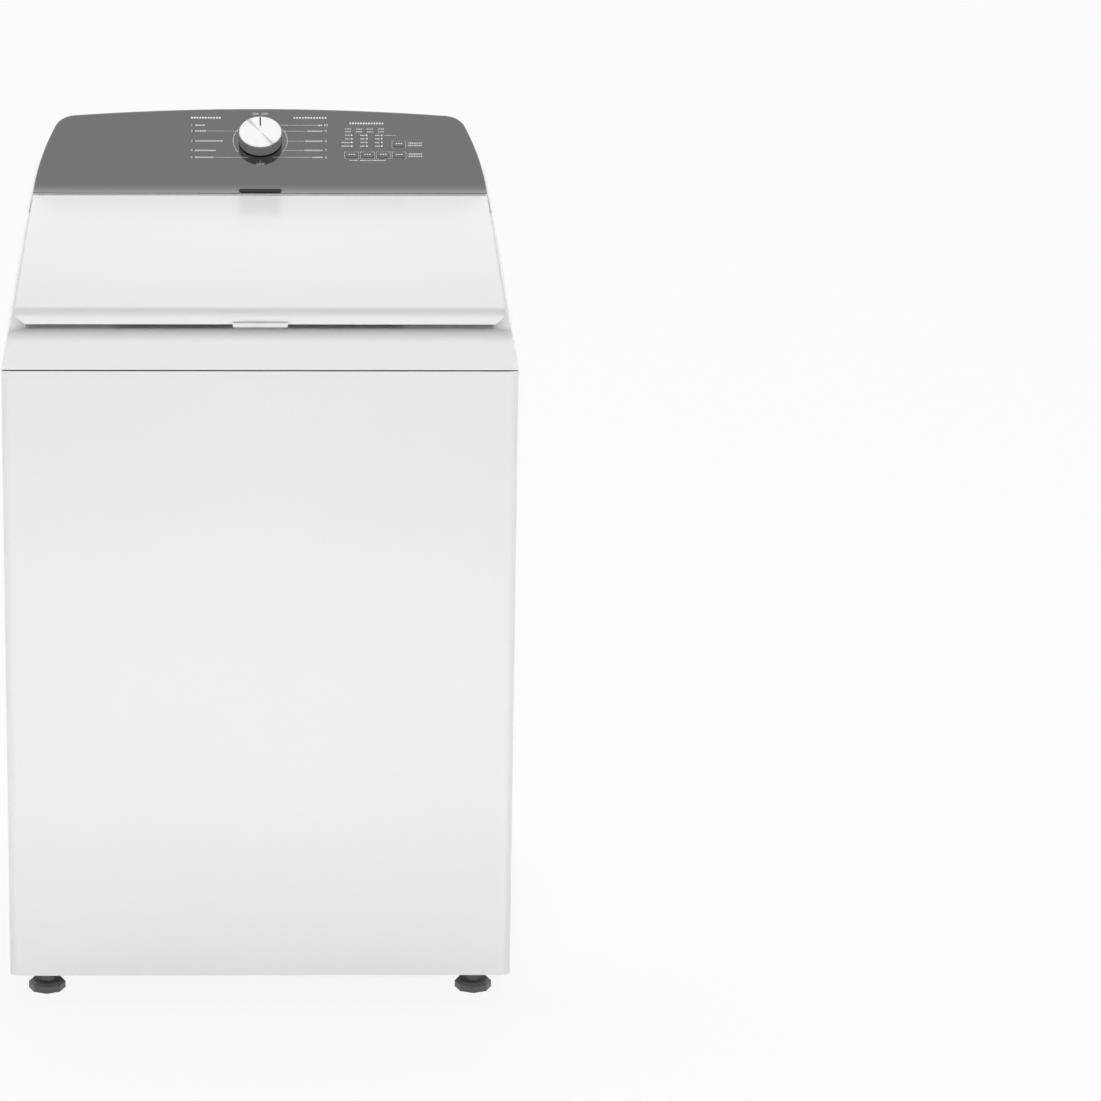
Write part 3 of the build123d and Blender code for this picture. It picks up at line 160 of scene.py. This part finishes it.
def mottle(tree, bsdf, colour, amount, scale):
    stops = ((0.3, shade(colour, 1 - amount)), (0.7, shade(colour, 1 + amount)))
    tree.links.new(ramp(tree, noise(tree, scale), stops), bsdf.inputs["Base Color"])


def relief(tree, bsdf, height, strength, distance):
    bump = add_node(tree, "ShaderNodeBump", Strength=strength, Distance=distance)
    tree.links.new(height, bump.inputs["Height"])
    tree.links.new(bump.outputs["Normal"], bsdf.inputs["Normal"])


# A moulded or painted surface: slight mottling, a grain in its gloss and a fine relief
def coated(name, colour, roughness, grain=900.0, depth=0.00004, coat=0.0, amount=0.02, metallic=0.0):
    material, tree, bsdf = new_material(name)
    mottle(tree, bsdf, colour, amount, 5.0)
    fine = noise(tree, grain)
    tree.links.new(between(tree, fine, roughness * 0.85, roughness * 1.15), bsdf.inputs["Roughness"])
    relief(tree, bsdf, fine, 0.25, depth)
    bsdf.inputs["Metallic"].default_value = metallic
    bsdf.inputs["Coat Weight"].default_value = coat
    bsdf.inputs["Coat Roughness"].default_value = 0.06
    return material


# Sheet or turned metal with streaks along one direction
def streaked(name, colour, roughness, stretch):
    material, tree, bsdf = new_material(name)
    mottle(tree, bsdf, colour, 0.05, 14.0)
    streak = noise(tree, 40.0, 4.0, stretch)
    tree.links.new(between(tree, streak, roughness * 0.7, roughness * 1.3), bsdf.inputs["Roughness"])
    relief(tree, bsdf, streak, 0.15, 0.00005)
    bsdf.inputs["Metallic"].default_value = 1.0
    return material


# Sheet steel with rows of holes round an upright axis, each row turned by half a hole; the holes are
# near-black dots of colour, painted shade where the openings would be, over a bump
def perforated(name, colour, roughness, centre, columns, pitch, hole_radius):
    material, tree, bsdf = new_material(name)
    parts = tree.nodes.new("ShaderNodeSeparateXYZ")
    tree.links.new(place_in(tree, shift=-centre), parts.inputs["Vector"])
    turn = calculate(tree, "ARCTAN2", parts.outputs["Y"], parts.outputs["X"])
    column = calculate(tree, "MULTIPLY", turn, columns / tau)
    row = calculate(tree, "DIVIDE", parts.outputs["Z"], pitch)
    odd = calculate(tree, "FLOORED_MODULO", calculate(tree, "FLOOR", row), 2)
    along = calculate(tree, "FRACT", calculate(tree, "ADD", column, calculate(tree, "MULTIPLY", odd, 0.5)))
    upward = calculate(tree, "FRACT", row)
    aside = calculate(tree, "POWER", calculate(tree, "SUBTRACT", along, 0.5), 2)
    above = calculate(tree, "POWER", calculate(tree, "SUBTRACT", upward, 0.5), 2)
    distance = calculate(tree, "SQRT", calculate(tree, "ADD", aside, above))
    edge = hole_radius / pitch
    outside_hole_shade = between(tree, distance, 0, 1, edge * 0.85, edge)
    # painted shade: near-black colour inside each hole
    tree.links.new(ramp(tree, outside_hole_shade, ((0, shade(colour, 0.03)), (1, colour))), bsdf.inputs["Base Color"])
    streak = noise(tree, 40.0, 4.0, (1, 1, 12))
    tree.links.new(between(tree, streak, roughness * 0.7, roughness * 1.3), bsdf.inputs["Roughness"])
    relief(tree, bsdf, between(tree, distance, 0, 1, edge * 0.6, edge * 1.5), 0.6, 0.0008)
    bsdf.inputs["Metallic"].default_value = 1.0
    return material


# Face of a turned disc, in the disc's own frame: fine rings, and one dark streak through the centre, a
# painted reflection of the spun finish's light and dark sheen
def turned(name, colour, roughness, painted_streak_turn, painted_streak_width, ring_scale):
    material, tree, bsdf = new_material(name)
    parts = tree.nodes.new("ShaderNodeSeparateXYZ")
    tree.links.new(place_in(tree), parts.inputs["Vector"])
    turn = calculate(tree, "ARCTAN2", parts.outputs["Y"], parts.outputs["X"])
    from_painted_streak = calculate(tree, "SUBTRACT", turn, painted_streak_turn)
    across = calculate(tree, "ABSOLUTE", calculate(tree, "SINE", from_painted_streak))
    uneven = between(tree, noise(tree, 90.0, 3.0), 0.9, 1.0)
    # painted reflection: a darker wedge of colour along one direction, where the spun finish would mirror
    # less light
    streak = between(tree, across, 0, 1, 0, painted_streak_width)
    stops = ((0, shade(colour, 0.55)), (0.35, shade(colour, 0.86)), (1, colour))
    painted_streak_tint = ramp(tree, calculate(tree, "MULTIPLY", streak, uneven), stops)
    tree.links.new(painted_streak_tint, bsdf.inputs["Base Color"])
    radius = tree.nodes.new("ShaderNodeVectorMath")
    radius.operation = "LENGTH"
    tree.links.new(place_in(tree, stretch=(ring_scale, ring_scale, 0)), radius.inputs[0])
    rings = calculate(tree, "FRACT", radius.outputs["Value"])
    tree.links.new(between(tree, rings, roughness * 0.8, roughness * 1.2, 0, 1), bsdf.inputs["Roughness"])
    relief(tree, bsdf, rings, 0.1, 0.00002)
    bsdf.inputs["Metallic"].default_value = 1.0
    bsdf.inputs["Anisotropic"].default_value = 0.7
    tangent = tree.nodes.new("ShaderNodeTangent")
    tangent.direction_type = "RADIAL"
    tangent.axis = "Z"
    tree.links.new(tangent.outputs["Tangent"], bsdf.inputs["Tangent"])
    return material


# Console's metallic paint with a painted reflection: its colour grows paler on the roll at the foot of the
# face
painted_reflection_below = 0.001
painted_reflection_above = 0.009


def console_finish(name, colour, roughness):
    material = coated(name, colour, roughness, grain=2600.0, depth=0.00001, coat=0.5, metallic=0.9)
    tree = material.node_tree
    bsdf = tree.nodes["Principled BSDF"]
    parts = tree.nodes.new("ShaderNodeSeparateXYZ")
    tree.links.new(place_in(tree), parts.inputs["Vector"])
    foot = face_origin.z
    # painted reflection: colour lifted towards the foot, standing in for the bright surroundings mirrored in
    # the roll
    painted_reflection = between(tree, parts.outputs["Z"], 1, 0, foot - painted_reflection_below, foot + painted_reflection_above)
    stops = ((0, colour), (0.4, shade(colour, 1.25)), (1, shade(colour, 2.3)))
    tree.links.new(ramp(tree, painted_reflection, stops), bsdf.inputs["Base Color"])
    return material


white = (0.81, 0.81, 0.81)
console_colour = (0.152, 0.152, 0.153)
steel_colour = (0.62, 0.62, 0.63)
# Direction of the painted dark streak on the knob's face
painted_streak_turn = radians(126)
hole_columns = 96
hole_pitch = 0.0164
hole_radius = 0.0024
looks = {
    "cabinet_enamel": coated("cabinet_enamel", white, 0.3, grain=700.0, coat=0.2, amount=0.006),
    "white_moulding": coated("white_moulding", white, 0.2, grain=500.0, coat=0.25, amount=0.006),
    "liner_white": coated("liner_white", (0.76, 0.76, 0.76), 0.4),
    "console_grey": console_finish("console_grey", console_colour, 0.06),
    "black_gloss": coated("black_gloss", (0.005, 0.005, 0.005), 0.16),
    "knob_silver": coated("knob_silver", (0.26, 0.26, 0.262), 0.36, metallic=0.4),
    "knob_face": turned("knob_face", (0.95, 0.95, 0.95), 0.3, painted_streak_turn, 0.28, 1400.0),
    "button_grey": coated("button_grey", console_colour, 0.1, grain=2600.0, coat=0.5, metallic=0.9),
    "light_lens": coated("light_lens", (0.75, 0.77, 0.78), 0.15, coat=0.5),
    "board_green": coated("board_green", (0.02, 0.13, 0.06), 0.4),
    "steel": streaked("steel", steel_colour, 0.3, (1, 1, 12)),
    "zinc": streaked("zinc", (0.55, 0.56, 0.57), 0.42, (3, 3, 3)),
    "aluminium": streaked("aluminium", (0.66, 0.66, 0.67), 0.4, (2, 2, 9)),
    "motor_black": coated("motor_black", (0.03, 0.03, 0.032), 0.35),
    "tub_plastic": coated("tub_plastic", (0.62, 0.63, 0.64), 0.45),
    "agitator_grey": coated("agitator_grey", (0.42, 0.44, 0.47), 0.3, coat=0.2),
    "rubber": coated("rubber", (0.03, 0.03, 0.03), 0.7, grain=1500.0, depth=0.0001),
    "foot_grey": coated("foot_grey", (0.09, 0.09, 0.092), 0.42, grain=1500.0, amount=0.06),
    "valve_white": coated("valve_white", (0.72, 0.72, 0.71), 0.45),
}
print_white = coated("print_white", (0.74, 0.74, 0.74), 0.5)
print_dark = coated("print_dark", (0.02, 0.02, 0.02), 0.5)
hole_pattern = (drum_centre, hole_columns, hole_pitch, hole_radius)
basket_steel = perforated("basket_steel", steel_colour, 0.28, *hole_pattern)

for part in frame["record"]["subparts"]:
    slots = nodes[part["node"]].data.materials
    slots.clear()
    slots.append(basket_steel if part["node"] == "basket" else looks[part["material_slot"]])


# Pieces of their own, made from meshes in the frame or in a frame of the piece


def make_piece(name, mesh, material, body=None, place=None):
    data = bpy.data.meshes.new(name)
    mesh.to_mesh(data)
    mesh.free()
    data.materials.append(material)
    piece = bpy.data.objects.new(name, data)
    bpy.context.scene.collection.objects.link(piece)
    if place is not None:
        piece.matrix_world = place
    if body is not None:
        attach(piece, body)
    return piece


def on_face(x, up, lift=0.0):
    return face_origin + face_right * x + face_up * up + face_normal * lift


def face_matrix(x, up, lift):
    turn = Matrix((face_right, face_up, face_normal)).transposed().to_4x4()
    return Matrix.Translation(on_face(x, up, lift)) @ turn


# Prints on the console: numbers, ON and OFF, dots and lines only


def flat_shape(mesh, points, lift=print_lift):
    mesh.faces.new([mesh.verts.new(on_face(x, up, lift)) for x, up in points])


def bar(mesh, x, up, width, height, lift=print_lift):
    right, top = width / 2, height / 2
    corners = ((-right, -top), (right, -top), (right, top), (-right, top))
    flat_shape(mesh, [(x + a, up + b) for a, b in corners], lift)


def line(mesh, x0, x1, up, width):
    bar(mesh, (x0 + x1) / 2, up, abs(x1 - x0), width)


def dot(mesh, x, up, radius, lift=print_lift):
    steps = 20
    flat_shape(mesh, [(x + radius * cos(tau * i / steps), up + radius * sin(tau * i / steps))
                      for i in range(steps)], lift)


def arc(mesh, x, up, radius, width, start, end, steps=24):
    rows = []
    for r in (radius - width / 2, radius + width / 2):
        turns = [start + (end - start) * i / steps for i in range(steps + 1)]
        rows.append([mesh.verts.new(on_face(x + r * cos(t), up + r * sin(t), print_lift)) for t in turns])
    inner, outer = rows
    for i in range(steps):
        mesh.faces.new((inner[i], outer[i], outer[i + 1], inner[i + 1]))


def outline(mesh, x, up, size, width):
    across, high = size
    bar(mesh, x, up + high / 2, across, width)
    bar(mesh, x, up - high / 2, across, width)
    bar(mesh, x - across / 2, up, width, high)
    bar(mesh, x + across / 2, up, width, high)


def figure(mesh, words, x, up, size):
    curve = bpy.data.curves.new("figure", "FONT")
    curve.body = words
    curve.size = size
    curve.align_x = "CENTER"
    curve.align_y = "CENTER"
    lettering = bpy.data.objects.new("figure", curve)
    flat = bpy.data.meshes.new_from_object(lettering)
    flat.transform(face_matrix(x, up, print_lift))
    mesh.from_mesh(flat)
    bpy.data.objects.remove(lettering)
    bpy.data.curves.remove(curve)
    bpy.data.meshes.remove(flat)


# A row of short strokes where the machine has a word
def strokes(mesh, x0, x1, up, height):
    pitch_to_height = 1.15
    inked_share = 0.62
    count = max(round((x1 - x0) / (height * pitch_to_height)), 1)
    pitch = (x1 - x0) / count
    for i in range(count):
        bar(mesh, x0 + (i + 0.5) * pitch, up, inked_share * pitch, height)


word_height = 0.0026
small_height = 0.0020
head_height = 0.0018
title_height = 0.0034
thin_line = 0.0006
box_line = 0.0005
number_size = 0.0062
number_inset = 0.002
number_room = 0.0065
title_up = 0.1468
arc_radius = 0.0385
arc_half = radians(36)
top_word_up, top_word_size, top_dot_up = 0.1545, 0.0058, 0.1485
low_word_up, low_word_size, low_dot_up = 0.0555, 0.0064, 0.0612
dot_radius = 0.0008
legend = bmesh.new()

# Rows beside the knob: height on the face, inner end of the words, and ends of the leader line
left_rows = (
    (0.1321, 0.0787, None),
    (0.1205, 0.0772, (0.0760, 0.0317)),
    (0.1010, 0.0530, None),
    (0.0824, 0.0630, None),
    (0.0688, 0.0659, (0.0645, 0.0175)),
)
right_rows = (
    (0.1321, 0.0807, (0.0792, 0.0294)),
    (0.1205, 0.0664, (0.0650, 0.0323)),
    (0.1008, 0.0636, (0.0622, 0.0366)),
    (0.0827, 0.0622, (0.0608, 0.0323)),
    (0.0690, 0.0735, (0.0721, 0.0180)),
)
# Side of the knob, its rows, and both ends of its title
legend_sides = (
    (-1, left_rows, 0.0559, 0.0993),
    (1, right_rows, 0.0465, 0.0949),
)
row_numbers = 2 * len(left_rows)
for side, rows, title_x, legend_end in legend_sides:
    strokes(legend, *sorted((side * title_x, side * legend_end)), title_up, title_height)
    for number, (up, words_x, leader) in enumerate(rows, start=1):
        shown = str(number if side < 0 else row_numbers + 1 - number)
        figure(legend, shown, side * (legend_end - number_inset), up, number_size)
        strokes(legend, *sorted((side * words_x, side * (legend_end - number_room))), up, word_height)
        if leader is not None:
            line(legend, side * leader[0], side * leader[1], up, thin_line)
for middle in (0, pi):
    arc(legend, 0, knob_up, arc_radius, thin_line, middle - arc_half, middle + arc_half)
figure(legend, "ON  OFF", 0, top_word_up, top_word_size)
dot(legend, 0, top_dot_up, dot_radius)
figure(legend, "OFF", 0, low_word_up, low_word_size)
dot(legend, 0, low_dot_up, dot_radius)

# Status block: a title, column heads, words beside the lights and a line to the last light
status_left, status_right, status_up = 0.1262, 0.1760, 0.1360
head_places = (0.1248, 0.1404, 0.1560, 0.1717)
head_half = 0.0045
head_ups = (0.1250, 0.1195)
light_columns = 3
light_rows = 4
light_room = 0.0028
word_reach = 0.0095
long_reach = 0.0145
long_words = ((0, 0), (0, 1))
lead_start, lead_end = 0.0030, 0.0205
strokes(legend, status_left, status_right, status_up, title_height)
for x in head_places:
    for up in head_ups:
        strokes(legend, x - head_half, x + head_half, up, head_height)
for column in range(light_columns):
    x = light_first_x + column * light_pitch_x
    for row in range(light_rows):
        reach = long_reach if (column, row) in long_words else word_reach
        strokes(legend, x - reach, x - light_room, light_first_up + row * light_pitch_up, small_height)
last_light_x = light_first_x + (light_columns - 1) * light_pitch_x
last_light_up = light_first_up + (light_rows - 1) * light_pitch_up
line(legend, last_light_x + lead_start, last_light_x + lead_end, last_light_up, thin_line)

# Boxes round the buttons, and words beside and under them
beside_start, beside_end, beside_shift, beside_height = 0.0130, 0.0330, 0.0023, 0.0022
under_up = 0.0632
under_words = ((0.1262, 0.1376), (0.1410, 0.1782))
button_places = [(button_first_x + i * button_pitch, button_up) for i in range(4)]
button_places.append((button_first_x + 3 * button_pitch, button_upper_up))
for x, up in button_places:
    outline(legend, x, up, button_box, box_line)
for x, up in button_places[3:]:
    for shift in (-beside_shift, beside_shift):
        strokes(legend, x + beside_start, x + beside_end, up + shift, beside_height)
for x0, x1 in under_words:
    strokes(legend, x0, x1, under_up, small_height)
make_piece("console_print", legend, print_white, "cabinet")

# Marks on the buttons
mark_pitch = 0.0034
mark_radius = 0.0011
for number, (x, up) in enumerate(button_places, start=1):
    mark = bmesh.new()
    lift = button_proud + print_lift
    for step in (-1, 0, 1):
        dot(mark, x + step * mark_pitch, up, mark_radius, lift)
    make_piece(f"button_mark_{number}", mark, print_white, f"button_{number}")

# Knob's face, with a bevelled rim and a pointer let into it
rim_bevel = 0.0005
pointer_margin = 0.0006
pointer_lift = cap_lift + 0.82 * cap_thickness
cap = bmesh.new()
bmesh.ops.create_circle(cap, cap_ends=True, segments=128, radius=cap_radius)
bmesh.ops.solidify(cap, geom=cap.faces[:], thickness=cap_thickness)
bmesh.ops.recalc_face_normals(cap, faces=cap.faces[:])
cap_shift = cap_thickness - max(v.co.z for v in cap.verts)
bmesh.ops.translate(cap, verts=cap.verts[:], vec=(0, 0, cap_shift))
rim = [e for e in cap.edges if min(v.co.z for v in e.verts) > cap_thickness / 2]
bmesh.ops.bevel(cap, geom=rim, offset=rim_bevel, segments=3, affect="EDGES")
cap_piece = make_piece("knob_cap_turned", cap, looks["knob_face"], "knob",
                       face_matrix(0, knob_up, cap_lift))
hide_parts("knob_cap")
pointer = bmesh.new()
bmesh.ops.create_cube(pointer, size=1)
bmesh.ops.scale(pointer, verts=pointer.verts[:], vec=(pointer_width, pointer_length, cap_thickness / 2))
bmesh.ops.bevel(pointer, geom=pointer.edges[:], offset=pointer_width / 8, segments=2, affect="EDGES")
pointer_up = knob_up + cap_radius - pointer_margin - pointer_length / 2
make_piece("knob_pointer", pointer, print_dark, "knob", face_matrix(0, pointer_up, pointer_lift))

# Springs of the tub's suspension, wound from wire
springs_low, springs_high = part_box("suspension_springs")
spring_radius = 0.017
wire_radius = 0.002
spring_turns = 11
turn_steps = 24
wire_sides = 8
coil_radius = spring_radius - wire_radius
coil_low = springs_low.z + wire_radius
coil_rise = springs_high.z - wire_radius - coil_low


def coil(mesh, x, y):
    steps = spring_turns * turn_steps
    loops = []
    for i in range(steps + 1):
        turn = tau * i / turn_steps
        outward = Vector((cos(turn), sin(turn), 0))
        middle = Vector((x, y, coil_low + coil_rise * i / steps)) + outward * coil_radius
        loop = []
        for k in range(wire_sides):
            angle = tau * k / wire_sides
            offset = outward * cos(angle) + Vector((0, 0, sin(angle)))
            loop.append(mesh.verts.new(middle + offset * wire_radius))
        loops.append(loop)
    for one, two in zip(loops, loops[1:]):
        for k in range(wire_sides):
            n = (k + 1) % wire_sides
            mesh.faces.new((one[k], one[n], two[n], two[k])).smooth = True
    mesh.faces.new(loops[0])
    mesh.faces.new(loops[-1])


coils = bmesh.new()
for x in (springs_low.x + spring_radius, springs_high.x - spring_radius):
    for y in (springs_low.y + spring_radius, springs_high.y - spring_radius):
        coil(coils, x, y)
bmesh.ops.recalc_face_normals(coils, faces=coils.faces[:])
springs = make_piece("suspension_coils", coils, looks["steel"])
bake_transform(springs)
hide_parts("suspension_springs")

# Screws with crossed slots, that hold the rear panel and the console's rear cover; the slots are thin black
# boxes on the heads, painted shade
screw_radius = 0.0048
screw_height = 0.0024
screw_rings = 5
screw_sides = 24
slot_length = 0.0062
slot_width = 0.0013
slot_depth = 0.0003
slot_rise = 0.9 * screw_height


def screw(mesh, x, y, z):
    loops = []
    for i in range(screw_rings):
        lean = pi / 2 * i / screw_rings
        reach, rise = screw_radius * cos(lean), screw_height * sin(lean)
        turns = [tau * k / screw_sides for k in range(screw_sides)]
        loops.append([mesh.verts.new((x + reach * cos(t), y + rise, z + reach * sin(t))) for t in turns])
    crown = mesh.verts.new((x, y + screw_height, z))
    for k in range(screw_sides):
        n = (k + 1) % screw_sides
        for one, two in zip(loops, loops[1:]):
            mesh.faces.new((one[n], one[k], two[k], two[n]))
        mesh.faces.new((loops[-1][n], loops[-1][k], crown))


def screw_cross(mesh, x, y, z):
    # painted shade: a thin black box where each slot's recess would be
    for size in ((slot_length, slot_width), (slot_width, slot_length)):
        start = len(mesh.verts)
        bmesh.ops.create_cube(mesh, size=1)
        mesh.verts.ensure_lookup_table()
        shape = mesh.verts[start:]
        bmesh.ops.scale(mesh, verts=shape, vec=(size[0], slot_depth, size[1]))
        bmesh.ops.translate(mesh, verts=shape, vec=(x, y + slot_rise, z))


panel_low, panel_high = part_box("rear_panel")
cover_low, cover_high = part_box("console_rear_cover")
screw_margin = 0.012
screws_per_side = 5
cover_screw_x = 0.45 * cover_high.x
screw_pitch = (panel_high.z - panel_low.z - 2 * screw_margin) / (screws_per_side - 1)
screw_places = []
for side in (-1, 1):
    for step in range(screws_per_side):
        z = panel_low.z + screw_margin + step * screw_pitch
        screw_places.append((side * (panel_high.x - screw_margin), panel_high.y, z))
    screw_places.append((side * cover_screw_x, cover_high.y, cover_low.z + screw_margin))
heads = bmesh.new()
cross_shades = bmesh.new()
for place in screw_places:
    screw(heads, *place)
    screw_cross(cross_shades, *place)
for face in heads.faces:
    face.smooth = True
make_piece("rear_screws", heads, looks["zinc"], "cabinet")
make_piece("rear_screw_slot_shade", cross_shades, looks["motor_black"], "cabinet")

# Dark strip in the groove between the cabinet and the top panel: painted shade, a black band standing in for
# the groove's shadow
shell_low, shell_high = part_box("cabinet_shell")
panel_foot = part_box("top_panel")[0].z
seam_shade_height = 0.0018
seam_shade_inset = 0.0017
seam_shade_clearance = 0.0001
seam_shade_strip = bmesh.new()
seam_shade_x = shell_high.x - seam_shade_inset
seam_shade_front, seam_shade_rear = shell_low.y + seam_shade_inset, shell_high.y - seam_shade_inset
corners = ((-seam_shade_x, seam_shade_front), (seam_shade_x, seam_shade_front), (seam_shade_x, seam_shade_rear), (-seam_shade_x, seam_shade_rear))
lower = [seam_shade_strip.verts.new((x, y, panel_foot + seam_shade_clearance)) for x, y in corners]
upper = [seam_shade_strip.verts.new((x, y, panel_foot + seam_shade_height)) for x, y in corners]
for i in range(len(corners)):
    j = (i + 1) % len(corners)
    seam_shade_strip.faces.new((lower[i], lower[j], upper[j], upper[i]))
make_piece("seam_painted_shade", seam_shade_strip, looks["rubber"], "cabinet")

# Dark strip between the console's foot and the strip of the top panel before it: painted shade along the
# joint
strip_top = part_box("top_panel")[1].z
foot_shade_margin = 0.001
foot_shade_lead = 0.0002
foot_shade_bevel = 0.0002
foot_shade_size = (2 * (fascia_high.x - foot_shade_margin), 0.0008, 0.0016)
foot_shade_place = (0, fascia_low.y - foot_shade_lead, strip_top)
foot_shade_strip = bmesh.new()
bmesh.ops.create_cube(foot_shade_strip, size=1)
bmesh.ops.scale(foot_shade_strip, verts=foot_shade_strip.verts[:], vec=foot_shade_size)
bmesh.ops.translate(foot_shade_strip, verts=foot_shade_strip.verts[:], vec=foot_shade_place)
bmesh.ops.bevel(foot_shade_strip, geom=foot_shade_strip.edges[:], offset=foot_shade_bevel, segments=2, affect="EDGES")
make_piece("console_foot_painted_shade", foot_shade_strip, looks["rubber"], "cabinet")

# Floor, light and camera
floor_half = 12
floor_colour = (0.93, 0.93, 0.93)
floor_white = 0.9
floor_mesh = bmesh.new()
bmesh.ops.create_grid(floor_mesh, x_segments=8, y_segments=8, size=floor_half)
floor_data = bpy.data.meshes.new("floor")
floor_mesh.to_mesh(floor_data)
floor_mesh.free()
floor = bpy.data.objects.new("floor", floor_data)
bpy.context.scene.collection.objects.link(floor)
floor_look, floor_tree, floor_bsdf = new_material("floor_pale")
mottle(floor_tree, floor_bsdf, floor_colour, 0.005, 2.0)
floor_bsdf.inputs["Roughness"].default_value = 0.8


# One value for rays that see the white round the object, another for the rays that light it
def seen_rays(tree, unseen, seen):
    rays = tree.nodes.new("ShaderNodeLightPath")
    either = rays.outputs["Is Camera Ray"]
    for other in ("Is Glossy Ray", "Is Transmission Ray"):
        either = calculate(tree, "MAXIMUM", either, rays.outputs[other])
    return between(tree, either, unseen, seen, 0, 1)


floor_glow = add_node(floor_tree, "ShaderNodeEmission", Color=(1, 1, 1, 1), Strength=1.0)
floor_mix = floor_tree.nodes.new("ShaderNodeMixShader")
floor_tree.links.new(seen_rays(floor_tree, 0, floor_white), floor_mix.inputs["Fac"])
floor_tree.links.new(floor_bsdf.outputs["BSDF"], floor_mix.inputs[1])
floor_tree.links.new(floor_glow.outputs["Emission"], floor_mix.inputs[2])
floor_out = floor_tree.nodes["Material Output"]
floor_tree.links.new(floor_mix.outputs["Shader"], floor_out.inputs["Surface"])
floor_data.materials.append(floor_look)

# Studio: bright from above to behind, a bright band low in front, and dim between them
behind_light = 1.36
band_light = 3.8
dim_light = 0.1
band_full, band_end = 0.06, 0.18
front_full, front_end = -0.1, 0.2
behind_start, behind_full = -0.1, 0.3
world = bpy.data.worlds.new("studio")
bpy.context.scene.world = world
world.use_nodes = True
world_tree = world.node_tree
direction = world_tree.nodes.new("ShaderNodeSeparateXYZ")
outward = world_tree.nodes.new("ShaderNodeTexCoord")
world_tree.links.new(outward.outputs["Generated"], direction.inputs["Vector"])
depth, height = direction.outputs["Y"], direction.outputs["Z"]
low_down = between(world_tree, height, band_light, dim_light, band_full, band_end)
in_front = between(world_tree, depth, 1, 0, front_full, front_end)
band = calculate(world_tree, "MULTIPLY", low_down, in_front)
behind = between(world_tree, depth, dim_light, behind_light, behind_start, behind_full)
around = calculate(world_tree, "MAXIMUM", band, behind)
seen = seen_rays(world_tree, 0, 1)
fallen = calculate(world_tree, "MULTIPLY", around, calculate(world_tree, "SUBTRACT", 1.0, seen))
sky = world_tree.nodes["Background"]
sky.inputs["Color"].default_value = (1, 1, 1, 1)
world_tree.links.new(calculate(world_tree, "ADD", fallen, seen), sky.inputs["Strength"])


# Lamps that neither show in the picture nor mirror in the console
def soft_light(name, place, target, size, power):
    data = bpy.data.lights.new(name, "AREA")
    data.shape = "RECTANGLE"
    data.size, data.size_y = size
    data.energy = power
    lamp = bpy.data.objects.new(name, data)
    lamp.location = place
    lamp.rotation_euler = (Vector(target) - Vector(place)).to_track_quat("-Z", "Y").to_euler()
    lamp.visible_camera = False
    lamp.visible_glossy = False
    bpy.context.scene.collection.objects.link(lamp)


soft_light("lid_light", place=(0, 0.35, 2.3), target=(0, 0.1, 1), size=(1.2, 0.6), power=9)
soft_light("low_light", place=(0, -1.4, 0.15), target=(0, -0.35, 0.25), size=(1.6, 0.3), power=4.6)

# Camera of the photograph, turned and shifted so that the machine stands at the left
camera_data = bpy.data.cameras.new("camera")
camera_data.sensor_width = sensor_width
camera_data.lens = focal_pixels / frame_pixels * sensor_width
camera_data.shift_x = camera_shift
camera = bpy.data.objects.new("camera", camera_data)
panned_pixels = frame_pixels / 2 - machine_pixel_x - camera_shift * frame_pixels
pan = Matrix.Rotation(-panned_pixels / focal_pixels, 4, "Y")
camera.matrix_world = Matrix.Translation(camera_place) @ Matrix.Rotation(pi / 2 - camera_pitch, 4, "X") @ pan
bpy.context.scene.collection.objects.link(camera)
bpy.context.scene.camera = camera
bpy.context.scene.view_settings.view_transform = "Standard"
